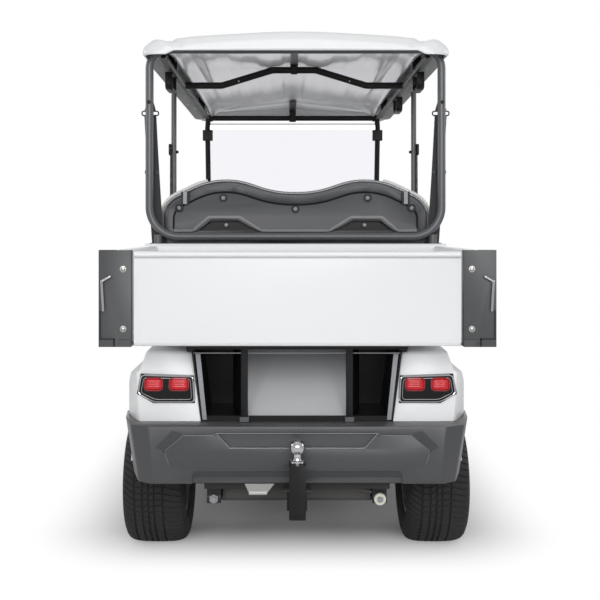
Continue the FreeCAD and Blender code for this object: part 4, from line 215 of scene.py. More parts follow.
COAT = {"Coat Weight": 0.5, "Coat Roughness": 0.06}
MATT = {"Specular IOR Level": 0.22}
METAL = {"Metallic": 1.0}
RED_GLOW = {"Coat Weight": 0.25, "Coat Roughness": 0.04,
            "Emission Color": (0.9, 0.01, 0.03, 1), "Emission Strength": 0.05}
LOOKS = {
    "tyre": ((0.024, 0.024, 0.026), 0.2, (0.62, 0.82), (700, 0.00015), 0.2, MATT),
    "rim": ((0.62, 0.63, 0.65), 0.03, (0.28, 0.34), (1500, 0.00002), 0, METAL),
    "frame_steel": ((0.022, 0.022, 0.024), 0.15, (0.38, 0.52), (1200, 0.00005), 0.25, MATT),
    "axle_iron": ((0.060, 0.058, 0.056), 0.2, (0.5, 0.68), (420, 0.0003), 0.3),
    "white_panel": ((0.84, 0.85, 0.86), 0.015, (0.29, 0.33)),
    "white_metal": ((0.83, 0.84, 0.85), 0.015, (0.30, 0.38), (500, 0.00003)),
    "black_steel": ((0.012, 0.012, 0.013), 0.1, (0.32, 0.44), (1000, 0.00005), 0, MATT),
    "plate_coat": ((0.060, 0.062, 0.065), 0.1, (0.36, 0.46), (900, 0.00005)),
    # The bag panel's pale base colour is a painted reflection of the white floor.
    "painted_reflection_panel": ((0.74, 0.75, 0.77), 0.06, (0.34, 0.46), (9, 0.0004), 0,
                    {"Metallic": 0.3}),
    # Glossy dark bead, lighter than the dark plastic it trims: partly painted highlight for its
    # light lines.
    "bead_with_painted_highlight": ((0.16, 0.165, 0.175), 0.05, (0.16, 0.24), None, 0, COAT),
    "shell_plastic": ((0.040, 0.042, 0.046), 0.1, (0.32, 0.44), (800, 0.00012)),
    "grey_clip": ((0.30, 0.31, 0.33), 0.05, (0.3, 0.4)),
    "cream_rubber": ((0.70, 0.69, 0.60), 0.05, (0.4, 0.5)),
    "dark_plate": ((0.018, 0.018, 0.020), 0.1, (0.28, 0.34), None, 0, MATT),
    "mat_rib": ((0.035, 0.035, 0.037), 0.1, (0.55, 0.7), (500, 0.0002), 0.3),
    "grey_tube": ((0.105, 0.110, 0.118), 0.08, (0.28, 0.34), (1100, 0.00003)),
    "charcoal_plastic": ((0.058, 0.060, 0.065), 0.1, (0.30, 0.42), (800, 0.00012), 0.15),
    "well_plastic": ((0.010, 0.010, 0.011), 0.12, (0.30, 0.42), (260, 0.00004), 0, MATT),
    "floor_rubber": ((0.040, 0.040, 0.042), 0.12, (0.6, 0.75), (400, 0.0002), 0.4),
    "helm_plastic": ((0.030, 0.030, 0.031), 0.1, (0.45, 0.58), (1400, 0.0002)),
    "battery_case": ((0.055, 0.055, 0.060), 0.1, (0.4, 0.5), (500, 0.0001), 0.3),
    "seat_vinyl": ((0.78, 0.77, 0.74), 0.04, (0.40, 0.52), (620, 0.00022), 0,
                   {"Specular IOR Level": 0.45}),
    "webbing": ((0.030, 0.030, 0.033), 0.1, (0.7, 0.8), (900, 0.0002), 0,
                {"Sheen Weight": 0.3}),
    "lamp_bezel": ((0.008, 0.008, 0.009), 0.05, (0.10, 0.18), None, 0, MATT),
    "headlamp_glass": ((0.72, 0.74, 0.76), 0.04, (0.05, 0.1), None, 0, COAT),
    "red_lens": ((0.54, 0.002, 0.012), 0.14, (0.28, 0.34), None, 0, RED_GLOW),
    "bright_chrome": ((0.58, 0.58, 0.60), 0.02, (0.05, 0.1), None, 0, METAL),
    "liner_gloss": ((0.90, 0.91, 0.93), 0.03, (0.19, 0.26), None, 0,
                    {"Coat Weight": 0.4, "Coat Roughness": 0.08}),
    "speckled_grey": ((0.215, 0.220, 0.225), 0.3, (0.5, 0.7), (500, 0.0004), 0, None, 160),
    "zinc": ((0.40, 0.40, 0.39), 0.06, (0.28, 0.34), None, 0, METAL),
    "lens_seat": ((0.30, 0.012, 0.014), 0.1, (0.15, 0.25), None, 0,
                  {"Coat Weight": 0.6, "Coat Roughness": 0.05}),
    "clear_pane": ((0.91, 0.91, 0.95), 0.01, (0.02, 0.04), None, 0,
                   {"Transmission Weight": 1.0, "IOR": 1.1}),
}
FINISHES = {name: new_finish(name + "_finish", *look) for name, look in LOOKS.items()}
SLOT_OF = {row["node"]: row["material_slot"] for row in frame["record"]["subparts"]}
OTHER_LOOKS = {"front_struts": "black_steel", "headlamps": "lamp_bezel"}
for node, slot in SLOT_OF.items():
    nodes[node].data.materials.clear()
    nodes[node].data.materials.append(FINISHES[OTHER_LOOKS.get(node, slot)])
print(len(FINISHES), "finishes on", len(nodes), "nodes")

# %% [markdown]
# Every new surface starts as an array of points worked out all at once. A grid of rows and
# columns becomes quads by counting alone: the point at row i and column j has the number
# i * columns + j, so its four neighbours are known without a loop.

# %% Mesh tools
def link_mesh(name, points, faces):
    """An object whose mesh has these points and faces."""
    mesh = bpy.data.meshes.new(name)
    mesh.from_pydata(np.asarray(points, float).reshape(-1, 3).tolist(), [], faces)
    mesh.update()
    piece = bpy.data.objects.new(name, mesh)
    bpy.context.scene.collection.objects.link(piece)
    return piece


def grid_faces(rows, columns, wrap_rows=False, wrap_columns=False):
    """Quads between neighbouring points of a grid, which may close on itself."""
    i = np.arange(rows if wrap_rows else rows - 1)
    j = np.arange(columns if wrap_columns else columns - 1)
    i, j = [a.ravel() for a in np.meshgrid(i, j, indexing="ij")]
    up, right = (i + 1) % rows, (j + 1) % columns
    return np.stack([i * columns + j, i * columns + right,
                     up * columns + right, up * columns + j], axis=1).tolist()


def grid_part(x, y, z, **wrap):
    """The points (x, y, z) of a grid and its faces; the arrays are spread to one shape."""
    points = np.stack(np.broadcast_arrays(x, y, z), axis=-1)
    return points.reshape(-1, 3), grid_faces(*points.shape[:2], **wrap)


def smooth(piece, angle=35):
    """Shade a piece smoothly, but keep edges sharper than angle degrees crisp."""
    mesh = piece.data
    mesh.polygons.foreach_set("use_smooth", np.ones(len(mesh.polygons), bool))
    mesh.set_sharp_from_angle(angle=math.radians(angle))
    return piece


def bevelled(piece, width, segments=2):
    """Round the piece's edges with a live Bevel, so that they catch the light."""
    modifier = piece.modifiers.new("edge", "BEVEL")
    modifier.width, modifier.segments = width, segments
    modifier.limit_method, modifier.angle_limit = "ANGLE", math.radians(30)
    modifier.harden_normals = True
    piece.data.polygons.foreach_set("use_smooth", np.ones(len(piece.data.polygons), bool))
    return piece


def finish(piece, body, look, stands_for=()):
    """Give a piece its finish, the body it rides on and the solids it stands for."""
    piece.data.materials.clear()
    piece.data.materials.append(FINISHES[look])
    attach(piece, body)
    if stands_for:
        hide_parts(*stands_for)
    return piece


def joined(name, parts):
    """One object from several parts, with doubled points merged and faces outwards."""
    clouds, face_lists = zip(*parts)
    starts = np.cumsum([0] + [len(points) for points in clouds]).tolist()
    faces = [[index + start for index in face]
             for start, face_list in zip(starts, face_lists) for face in face_list]
    piece = link_mesh(name, np.concatenate(clouds), faces)
    work = bmesh.new()
    work.from_mesh(piece.data)
    bmesh.ops.remove_doubles(work, verts=work.verts, dist=1e-5)
    bmesh.ops.recalc_face_normals(work, faces=work.faces)
    work.to_mesh(piece.data)
    work.free()
    return piece


def made(name, parts, look, body="chassis", stands_for=(), angle=35, bevel=0.0,
         segments=2, wall=None):
    """A finished piece from parts.

    A wall is (thickness, offset). A bevel rounds the edges; without one the piece is
    shaded smoothly up to the angle, where 0 leaves the faces flat.
    """
    piece = joined(name, parts)
    if wall:
        modifier = piece.modifiers.new("wall", "SOLIDIFY")
        modifier.thickness, modifier.offset = wall
    if bevel:
        bevelled(piece, bevel, segments)
    elif angle:
        smooth(piece, angle)
    return finish(piece, body, look, stands_for)


print("mesh tools ready")

# %% [markdown]
# Most fittings are one of a few kinds of form: something turned on an axis, carried along a
# path, or cut from sheet. Each helper returns a part, which is an array of points and a list
# of faces, so that many parts can be joined into one mesh before Blender sees any of them.

# %% Turned, swept and flat parts
def unit(ways):
    """Directions of length 1."""
    return ways / np.linalg.norm(ways, axis=1)[:, None]


def circle(radius, steps=12):
    """Pairs (cos t, sin t) * radius, the outline of a round bar."""
    turn = np.linspace(0, 2 * np.pi, steps, endpoint=False)
    return np.stack([np.cos(turn), np.sin(turn)], axis=1) * radius


def turned(profile, place=(0, 0, 0), axis="x", steps=24):
    """A form turned on an axis.

    A profile pair is (along the axis, radius), and its ring of points is
    place + along * axis + radius * (cos t, sin t) across it.
    """
    along, radius = np.asarray(profile, float).T
    first = "xyz".index(axis)
    points = np.zeros((len(along), steps, 3))
    points[..., first] = along[:, None]
    across = [(first + 1) % 3, (first + 2) % 3]
    points[..., across] = radius[:, None, None] * circle(1, steps)
    return points.reshape(-1, 3) + place, grid_faces(len(along), steps, wrap_columns=True)


def swept(path, outline, up=(0, 1, 0), closed=False):
    """An outline carried along a path.

    A point is path + a * side + b * other for each outline pair (a, b), where side is
    square to the path and to up, and other is square to the path and to side.
    """
    path, outline = np.asarray(path, float), np.asarray(outline, float)
    way = unit(np.roll(path, -1, axis=0) - np.roll(path, 1, axis=0) if closed
               else np.gradient(path, axis=0))
    side = unit(np.cross(way, np.asarray(up, float)))
    other = np.cross(side, way)
    points = (path[:, None] + outline[None, :, :1] * side[:, None]
              + outline[None, :, 1:] * other[:, None])
    count = len(outline)
    faces = grid_faces(len(path), count, wrap_rows=closed, wrap_columns=True)
    if not closed:
        last = count * (len(path) - 1)
        faces += [list(range(count)), list(range(last, last + count))]
    return points.reshape(-1, 3), faces


def rod(path, radius, steps=8, up=(0, 1, 0), closed=False):
    """A round bar carried along a path."""
    return swept(path, circle(radius, steps), up, closed)


def eased(corners, reach, steps=8, closed=False):
    """A path through corners, where each turn is a parabola that starts reach before it."""
    corners = np.asarray(corners, float)
    line = np.concatenate([corners[-1:], corners, corners[:1]]) if closed else corners
    ways = unit(np.diff(line, axis=0))
    t = np.linspace(0, 1, steps)[:, None]
    runs = [(1 - t) ** 2 * (corner - before * reach) + 2 * t * (1 - t) * corner
            + t ** 2 * (corner + after * reach)
            for corner, before, after in zip(line[1:-1], ways[:-1], ways[1:])]
    return np.concatenate(runs if closed else [corners[:1]] + runs + [corners[-1:]])


def oblong(x0, x1, z0, z1):
    """The four corners of a rectangle."""
    return [(x0, z0), (x1, z0), (x1, z1), (x0, z1)]


def plate(outline, low, high, axis="y"):
    """A flat outline, given in the two other axes, made solid between two levels."""
    first = "xyz".index(axis)
    count = len(outline)
    points = np.zeros((2, count, 3))
    points[..., first] = [[low], [high]]
    points[..., [index for index in range(3) if index != first]] = outline
    faces = grid_faces(2, count, wrap_columns=True)
    faces += [list(range(count)), list(range(count, 2 * count))]
    return points.reshape(-1, 3), faces


def block(low, high):
    """A box between two opposite corners."""
    return plate(oblong(low[0], high[0], low[1], high[1]), low[2], high[2], "z")


def repeated(part, places):
    """Copies of one part, each moved to its own place."""
    points, faces = part
    copies = points[None] + np.asarray(places, float)[:, None]
    return copies.reshape(-1, 3), [[index + copy * len(points) for index in face]
                                   for copy in range(len(places)) for face in faces]


def both(parts):
    """The parts and their mirror images: on the other side of the cart x changes its sign."""
    return list(parts) + [(points * (-1, 1, 1), faces) for points, faces in parts]


def spline(points, count):
    """A smooth curve through points.

    Catmull-Rom: between two points it is the cubic whose slope at each of them is half the
    step between that point's neighbours.
    """
    points = np.asarray(points, float)
    line = np.concatenate([2 * points[:1] - points[1:2], points,
                           2 * points[-1:] - points[-2:-1]])
    t = np.linspace(0, len(points) - 1, count)
    i = np.minimum(t.astype(int), len(points) - 2)
    f = (t - i)[:, None]
    a, b, c, d = line[i], line[i + 1], line[i + 2], line[i + 3]
    return (b + (c - a) * f / 2 + (a - 2.5 * b + 2 * c - d / 2) * f ** 2
            + (1.5 * (b - c) + (d - a) / 2) * f ** 3)


def soft_step(value, start, end):
    """0 before start, 1 after end, and a smooth S between them: 3 t^2 - 2 t^3."""
    t = np.clip((value - start) / (end - start), 0, 1)
    return t * t * (3 - 2 * t)


def merged_copy(node, name):
    """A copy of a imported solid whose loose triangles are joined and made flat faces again."""
    piece = nodes[node].copy()
    piece.data = nodes[node].data.copy()
    piece.name = name
    bpy.context.scene.collection.objects.link(piece)
    work = bmesh.new()
    work.from_mesh(piece.data)
    bmesh.ops.remove_doubles(work, verts=work.verts, dist=2e-5)
    bmesh.ops.dissolve_limit(work, angle_limit=math.radians(1), verts=work.verts,
                             edges=work.edges)
    work.to_mesh(piece.data)
    work.free()
    return piece


print("helpers ready for turned, swept, flat, repeated and mirrored parts")

# %% [markdown]
# The tyres are the lowest and one of the liveliest parts of the picture. Five grooves run
# round each, off centre as on the real tread, and curved cuts part the ribs into blocks. A
# texture would be flat at the outline, so the grooves are real. The trick is to let the
# grid's own lines run along every edge: columns lie on the walls of the round grooves, and
# the rows lie on the walls of the cuts and are slid round the tyre column by column. A cap,
# four nuts and a valve belong to each wheel's body and turn with it.

# %% Wheels
PITCHES = 64
GROOVES = np.array([-0.061, -0.034, -0.013, 0.006, 0.035])
GROOVE_DEPTH, DRAWN_RADIUS = 0.0062, 0.2285
GROOVE_FLOOR, GROOVE_MOUTH = 0.0021, 0.0034
CUT_SPOTS, CUT_DEPTHS, CUT_SHARE = [0, 0.05, 0.19, 0.24, 0.62], [0, 1, 1, 0, 0], 0.85
TREAD_HALF, CUT_END, CUT_FADE = 0.1055, 0.104, 0.006
SLIDE_AT = [-0.104, -0.085, -0.0632, -0.0362, -0.0318, -0.0152, -0.0108, 0.0038,
            0.0082, 0.0328, 0.0372, 0.070, 0.104]
SLIDE_BY = [0.030, 0.015, 0.001, -0.001, -0.001, 0.008, -0.004, 0.004,
            0.003, 0.002, 0.001, -0.007, -0.014]
FLANK = [(0.0885, 0.1385), (0.099, 0.147), (0.1060, 0.165), (0.1078, 0.184)]
SHOULDER = [(0.1078, 0.184), (0.1035, 0.203), (0.0915, 0.2175), (0.066, 0.2253),
            (0.034, 0.2276), (0, 0.2283)]
CAP = [(0.0465, 0.0195), (0.0520, 0.0190), (0.0550, 0.0150), (0.0562, 0)]
NUT = [(0.0465, 0.0088), (0.0535, 0.0088), (0.0560, 0.0070), (0.0575, 0.0035), (0.0578, 0)]
VALVE = [(0.0300, 0.0046), (0.0480, 0.0040), (0.0500, 0.0048), (0.0620, 0.0045), (0.0630, 0)]
NUT_CIRCLE, VALVE_PLACE = 0.0320, np.array([0, 0.083, 0.083])


def tyre_part(centre, radius):
    """A treaded tyre.

    The point of column w and row a is centre + (w, r cos a, r sin a), where r is the
    moulded profile less the depth of grooves and cuts, and a slides with w.
    """
    flank, dome = spline(FLANK, 9), spline(SHOULDER, 60)[::-1]
    walls = (GROOVES[:, None] + [-GROOVE_MOUTH, -GROOVE_FLOOR, GROOVE_FLOOR,
                                 GROOVE_MOUTH]).ravel()
    ribs = np.concatenate([np.linspace(-TREAD_HALF, -0.066, 9),
                           (GROOVES[1:] + GROOVES[:-1]) / 2,
                           np.linspace(0.040, TREAD_HALF, 13)])
    tread = np.sort(np.concatenate([walls, ribs]))
    profile = np.interp(np.abs(tread), dome[:, 0], dome[:, 1])
    across = np.concatenate([-flank[:, 0], tread, flank[::-1, 0]])
    height = np.concatenate([flank[:, 1], profile, flank[::-1, 1]])
    in_groove = np.isclose(np.abs(across[:, None] - GROOVES).min(axis=1), GROOVE_FLOOR)
    cut_reach = np.clip((CUT_END - np.abs(across)) / CUT_FADE, 0, 1) * (height > 0.20)
    spots = (np.arange(PITCHES)[:, None] + CUT_SPOTS).ravel() * 2 * np.pi / PITCHES
    cut = np.tile(CUT_DEPTHS, PITCHES)
    depth = GROOVE_DEPTH * np.maximum(in_groove, CUT_SHARE * cut[:, None] * cut_reach)
    ring = (height - depth) * radius / DRAWN_RADIUS
    angle = spots[:, None] - np.interp(across, SLIDE_AT, SLIDE_BY) / radius
    points, faces = grid_part(across, ring * np.cos(angle), ring * np.sin(angle),
                              wrap_rows=True, wrap_columns=True)
    return points + centre, faces


for wheel in ("rear_left", "rear_right", "front_left", "front_right"):
    low, high = np.array(corners(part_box("tyre_" + wheel)))
    hub = (low + high) / 2
    tyre = made("treaded_tyre_" + wheel, [tyre_part(hub, (high[2] - low[2]) / 2)], "tyre",
                "wheel_" + wheel, ["tyre_" + wheel], 40)
    out = (np.sign(hub[0]), 1)
    turn = np.arange(4) * np.pi / 2 + np.pi / 4
    nuts = np.stack([0 * turn, NUT_CIRCLE * np.cos(turn), NUT_CIRCLE * np.sin(turn)], axis=1)
    made("wheel_trim_" + wheel,
         [turned(np.array(CAP) * out, hub), turned(np.array(VALVE) * out, hub + VALVE_PLACE,
                                                   steps=10),
          repeated(turned(np.array(NUT) * out, steps=6), nuts + hub)],
         "zinc", "wheel_" + wheel)
print("a treaded tyre has", len(tyre.data.polygons), "faces")

# %% [markdown]
# The roof is one vacuum-formed moulding with a rain gutter along each side. It is a single
# grid: one outline from lip to lip, carried from the tail to the nose, where a few sizes
# change on the way. The corners in plan come from drawing the outline in near both ends.

# %% Roof shell
ROOF_TAIL, ROOF_NOSE, ROOF_CORNER = AXLE - 0.021, AXLE + 2.170, 0.060
TAIL_HALF, ROOF_HALF, ROOF_FOOT, ROOF_TOP = 0.560, 0.583, 1.772, 1.8800
RIM_HEIGHT, TAIL_LIP = 0.064, 0.021
TAIL_FOOT_ACROSS, TAIL_FOOT_HEIGHT = [0.440, 0.470], [1.7655, 1.7515]
RIM = np.array([(0.577, ROOF_FOOT), (0.583, 1.782), (0.583, 1.798), (0.577, 1.818),
                (0.562, 1.836), (0.546, 1.8475), (0.530, 1.8515), (0.516, 1.8505),
                (0.505, 1.8465), (0.486, 1.8450), (0.471, 1.8455), (0.463, 1.8500),
                (0.455, 1.8545), (0.430, 1.8575), (0.348, 1.8650), (0.169, 1.8750),
                (0.060, 1.8795), (0, ROOF_TOP)])
STATIONS = AXLE + np.array([-0.021, -0.015, -0.004, 0.020, 0.060, 0.330, 0.833, 1.820,
                            2.090, 2.130, 2.150, 2.162, 2.170])
DROPS = np.array([0.070, 0.055, 0.046, 0.039, 0.034, 0.009, 0, 0.009,
                  0.034, 0.039, 0.046, 0.055, 0.070])


def roof_half_width(along):
    """Half of the roof's width: it tapers towards the tail and rounds at the corners."""
    half = np.interp(along, [AXLE + 0.06, AXLE + 0.33], [TAIL_HALF, ROOF_HALF])
    near = np.minimum(np.minimum(along - ROOF_TAIL, ROOF_NOSE - along), ROOF_CORNER)
    return half - ROOF_CORNER + np.sqrt(ROOF_CORNER ** 2 - (ROOF_CORNER - near) ** 2)


def roof_surface(along, outline):
    """Points (x scaled to the half width, y, z lowered by the station's drop)."""
    along, (across, height) = along[:, None], outline.T
    share = np.clip((height - ROOF_FOOT) / RIM_HEIGHT, 0, 1)
    lip = np.interp(along, [AXLE + 0.03, AXLE + 0.30], [TAIL_LIP, 0])
    z = height - share * np.interp(along, STATIONS, DROPS) - (1 - share) * lip
    x = across * roof_half_width(along) / ROOF_HALF
    return np.stack(np.broadcast_arrays(x, along, z), axis=-1)


rim = spline(RIM, 70)
ease = ROOF_CORNER * (1 - np.cos(np.linspace(0, np.pi / 2, 14)))
inner = np.linspace(ROOF_TAIL + ROOF_CORNER, ROOF_NOSE - ROOF_CORNER, 46)[1:-1]
points = roof_surface(np.concatenate([ROOF_TAIL + ease, inner, ROOF_NOSE - ease[::-1]]),
                      np.concatenate([rim, rim[-2::-1] * (-1, 1)]))
share = np.linspace(0, 1, 6)[:-1, None, None]
tail_foot, nose_foot = points[0].copy(), points[-1].copy()
tail_foot[:, 2] = np.interp(np.abs(tail_foot[:, 0]), TAIL_FOOT_ACROSS, TAIL_FOOT_HEIGHT)
nose_foot[:, 2] = ROOF_FOOT
tail_face = tail_foot + share * (points[0] - tail_foot)
nose_face = nose_foot + share * (points[-1] - nose_foot)
points = np.concatenate([tail_face, points, nose_face[::-1]])
roof = made("roof_shell", [grid_part(*np.moveaxis(points, -1, 0))], "white_panel",
            stands_for=["roof_panel"], angle=50, wall=(0.005, -1))
print("roof shell:", len(roof.data.polygons), "faces")

# %% [markdown]
# Seen from behind, the roof's underside fills the top of the picture. A glossy headliner
# with pressed ribs hangs between the rails, and a grey flange with a speckled coat runs
# outside each rail. The ribs are a wave across the cart that dies away where the curved
# front fold crosses it. All bolts that share a finish are joined into one piece.

# %% Headliner, flanges and fasteners
LINER_HALF, LINER_TAIL, LINER_NOSE, LINER_GAP = 0.484, AXLE + 0.125, AXLE + 2.085, 0.014
RIBS_FROM, RIBS_TO, RIB_PITCH, RIB_DEPTH = 0.075, 0.429, 0.118, 0.0035
FIELD_DEPTH, FOLD_DEPTH, EDGE_DROP = 0.005, 0.006, 0.020

y = np.linspace(LINER_TAIL, LINER_NOSE, 72)[:, None]
x = np.linspace(-LINER_HALF, LINER_HALF, 161)
wide = np.abs(x)
fold = AXLE + 1.86 + 0.19 * (x / 0.45) ** 2
ribs = (soft_step(-np.cos((wide - RIBS_FROM) * 2 * np.pi / RIB_PITCH), -0.7, 0.7)
        * (wide > RIBS_FROM) * (wide < RIBS_TO))
ends = soft_step(y, y[0], y[0] + 0.45) * (1 - soft_step(y, fold - 0.09, fold))
crown = np.minimum(np.interp(wide, RIM[::-1, 0], RIM[::-1, 1]),
                   ROOF_TOP - 0.0230 * wide / 0.43)
z = (crown - np.interp(y, STATIONS, DROPS) - LINER_GAP
     - (RIB_DEPTH * ribs + FIELD_DEPTH * soft_step(wide, 0.040, 0.062)) * ends
     - FOLD_DEPTH * soft_step(y, fold - 0.02, fold + 0.03)
     - EDGE_DROP * soft_step(wide, 0.425, 0.470))
liner = made("headliner", [grid_part(x, y, z)], "liner_gloss", angle=60,
             wall=(0.003, -1))
if liner.data.polygons[0].normal.z > 0:
    liner.data.flip_normals()

y = np.linspace(AXLE + 0.115, LINER_NOSE, 60)[:, None]
across = np.concatenate([0 * y + 0.5065, 0 * y + 0.525, roof_half_width(y) - 0.008], axis=1)
flanges = [grid_part(side * across, y, [1.7735, 1.7725, 1.7725]) for side in SIDES]
made("roof_flanges", flanges, "speckled_grey", wall=(0.005, 0))


def dome_bolt(radius, axis, way):
    """A low domed bolt head with a washer, standing away from the surface by way (+1/-1)."""
    profile = [(0, 1.45), (0.22, 1.45), (0.25, 1), (0.75, 0.8), (1, 0)]
    return turned(np.array(profile) * radius * (way, 1), axis=axis, steps=12)


flange_bolts = [(side * across, AXLE + along, 1.7702) for side in SIDES for along, across in
                ((0.16, 0.53), (0.20, 0.55), (0.36, 0.53), (0.72, 0.552), (0.80, 0.53),
                 (0.98, 0.55), (1.15, 0.53), (1.45, 0.55), (1.62, 0.53), (1.95, 0.53),
                 (2.02, 0.555))]
bow_bolts = [(across, AXLE + along, height) for across, along, height in
             ((-0.251, 0.8205, 1.789), (0.251, 0.8205, 1.789), (-0.172, 2.0585, 1.770),
              (0.172, 2.0585, 1.770), (0, 0.8125, 1.843), (0, 2.0455, 1.768))]
made("roof_bolts", [repeated(dome_bolt(0.0055, "z", -1), flange_bolts),
                    repeated(dome_bolt(0.0034, "y", -1), bow_bolts)], "zinc")
BOW_STRAPS = (
    (0.014, ((0.50, 1.8565), (0.80, 1.8505), (0.8125, 1.818), (0.8205, 1.818),
             (0.830, 1.8585), (0.50, 1.8600))),
    (0.019, ((1.85, 1.8380), (2.030, 1.8000), (2.0455, 1.746), (2.0535, 1.746),
             (2.060, 1.8200), (1.85, 1.8420))))
made("bow_straps", [plate(np.array(outline) + (AXLE, 0), -half, half, "x")
                    for half, outline in BOW_STRAPS], "black_steel",
     bevel=0.0012)
print(len(flange_bolts) + len(bow_bolts), "bolts under the roof")

# %% [markdown]
# Foam under stretched vinyl is the softest thing on the cart. Each pad starts as a slightly
# smaller copy of its solid with an even skin of small faces, and a cloth simulation blows it
# up like a cushion. How far a point may travel is capped, so the pad keeps its seat. The
# sewn lines come afterwards, as grooves pressed into the swollen skin.

# %% Pads
PAD_VOXEL, PAD_SHRINK, PAD_CAP, PAD_FRAMES = 0.0162, 0.004, 0.013, 20
PROUD = np.array([0.014, 0.006, 0.014])
BACK_HALF, BACK_SEAM, BENCH_HALF, BENCH_SEAM = 0.508, 0.062, 0.500, 0.072
SEAM_DEPTH, CHANNEL_DEPTH, EDGE_DEPTH, FULLER = 0.0050, 0.0042, 0.0035, 0.010
CHANNELS = (0, 0.085, 0.17, 0.255, 0.34, 0.425)
WAVE = spline([(0, 1.259), (0.07, 1.2615), (0.13, 1.278), (0.20, 1.300), (0.27, 1.309),
               (0.34, 1.300), (0.40, 1.276), (0.45, 1.245), (BACK_HALF, 1.19)], 60)


def at_vertices(piece, what="co"):
    """The place ("co") or outward direction ("normal") of every point, as an array."""
    values = np.empty(len(piece.data.vertices) * 3)
    piece.data.vertices.foreach_get(what, values)
    return values.reshape(-1, 3)


def move_vertices(piece, places):
    """Put an array of points back into the piece."""
    piece.data.vertices.foreach_set("co", np.asarray(places, float).ravel())
    piece.data.update()


def apply_all(piece):
    """Make the result of every modifier the piece's own mesh."""
    graph = bpy.context.evaluated_depsgraph_get()
    mesh = bpy.data.meshes.new_from_object(piece.evaluated_get(graph))
    piece.modifiers.clear()
    piece.data = mesh


def swell(piece):
    """Blow the skin up as cloth under pressure, and cap how far each point moves."""
    start = at_vertices(piece)
    cloth = piece.modifiers.new("foam", "CLOTH")
    cloth.settings.uniform_pressure_force = 4.0
    cloth.settings.use_pressure = True
    cloth.settings.effector_weights.gravity = 0.0
    cloth.settings.quality = 4
    cloth.settings.tension_stiffness = cloth.settings.compression_stiffness = 12
    cloth.point_cache.frame_start, cloth.point_cache.frame_end = 1, PAD_FRAMES
    for number in range(1, PAD_FRAMES + 1):
        bpy.context.scene.frame_set(number)
    apply_all(piece)
    bpy.context.scene.frame_set(1)
    path = at_vertices(piece) - start
    length = np.linalg.norm(path, axis=1)[:, None]
    reach = PAD_CAP * np.tanh(length / PAD_CAP)
    move_vertices(piece, start + path / np.maximum(length, 1e-9) * reach)


def groove(value, line, width=0.0035):
    """A rounded groove of depth 1 along a line: exp(-(distance / width)^2)."""
    return np.exp(-((value - line) / width) ** 2)


def stitching(across, border, line):
    """Depth of a seam at a distance from the border, and of the channels inside it."""
    channels = sum(groove(np.abs(across), at) for at in CHANNELS)
    return (SEAM_DEPTH * groove(border, line)
            + CHANNEL_DEPTH * soft_step(border, line - 0.002, line + 0.006) * channels)


def sew_back(places, ways, rise, foot, front):
    """A backrest's moves: border seam, channels, edge seam and fuller shoulders."""
    x, y, z = places.T
    top = np.interp(np.abs(x), WAVE[:, 0], WAVE[:, 1]) + rise
    border = np.minimum(np.minimum(BACK_HALF - np.abs(x), top - z), z - foot)
    depth = soft_step(ways[:, 1], 0.35, 0.7) * stitching(x, border, BACK_SEAM)
    depth += EDGE_DEPTH * groove(border, 0.004, 0.0045) * (y > front)
    bulge = soft_step(np.abs(x), 0.24, 0.36) * soft_step(z, foot + 0.15, foot + 0.30)
    return ways * (1, 0, 1) * FULLER * bulge[:, None] - ways * depth[:, None]


def sew_bench(places, ways, front):
    """A bench cushion's moves: border seam, channels and a seam round its side."""
    x, y, z = places.T
    border = np.minimum(BENCH_HALF - np.abs(x), front - y)
    depth = soft_step(ways[:, 2], 0.35, 0.7) * stitching(x, border, BENCH_SEAM)
    depth += EDGE_DEPTH * groove(z, z.min() + 0.030, 0.004) * (np.abs(ways[:, 2]) < 0.5)
    return -ways * depth[:, None]


PADS = (("rear_backrest", "rear_backrest_pad", "chassis", 0.6, sew_back, 0.0, 0.845, -0.905),
        ("front_backrest", "front_backrest_pad", "chassis", 0.6, sew_back, -0.126, 0.874, 0.0),
        ("rear_seat_cushion", "rear_bench_pad", "chassis", 0.7, sew_bench, -0.452),
        ("front_seat_cushion", "front_bench_pad", "front_bench", 0.7, sew_bench, 0.470))
for node, name, body, fill, sew, *sizes in PADS:
    piece = merged_copy(node, name)
    skin = piece.modifiers.new("skin", "REMESH")
    skin.mode, skin.voxel_size = "VOXEL", PAD_VOXEL
    apply_all(piece)
    move_vertices(piece, at_vertices(piece) - at_vertices(piece, "normal") * PAD_SHRINK)
    swell(piece)
    finer = piece.modifiers.new("finer", "SUBSURF")
    finer.levels = finer.render_levels = 1
    apply_all(piece)
    places = at_vertices(piece)
    move_vertices(piece, places + sew(places, at_vertices(piece, "normal"), *sizes))
    low, high = np.array(corners(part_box(node)))
    move_vertices(piece, np.clip(at_vertices(piece), low - PROUD, high + PROUD))
    finish(smooth(piece, 180), body, "seat_vinyl", [node])
    print(name, len(piece.data.polygons), "faces")

# %% [markdown]
# Moulded and folded panels never have knife edges: each bend has a small radius that draws
# a bright line in the studio light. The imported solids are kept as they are, and a copy with
# rounded edges takes their place, wider on thick mouldings and finer on thin sheet.

# %% Rounded panels
CLAD = {"rear_body": 0.0020, "front_cowl": 0.0020, "cargo_box": 0.0014,
        "tailgate_end_plates": 0.0007, "rear_bumper": 0.0030, "front_bumper": 0.0050,
        "rear_seat_shell": 0.0016, "front_seat_shell": 0.0020, "sill_panels": 0.0030,
        "front_seat_base": 0.0030, "dashboard": 0.0040, "hitch_bar": 0.0016,
        "box_supports": 0.0015, "grab_handles": 0.0030, "chassis_frame": 0.0015,
        "floor_panel": 0.0020, "pedals": 0.0015, "tailgate_panel": 0.0016}
SPECIAL = {"tailgate_end_plates": "plate_coat", "rear_seat_shell": "shell_plastic"}
for node, width in CLAD.items():
    gate = node == "tailgate_panel"
    piece = bevelled(merged_copy(node, "tailgate_skin" if gate else node + "_skin"), width)
    finish(piece, "tailgate" if gate else "chassis", SPECIAL.get(node, SLOT_OF[node]),
           [node])
print(len(CLAD), "solids have rounded edges now")

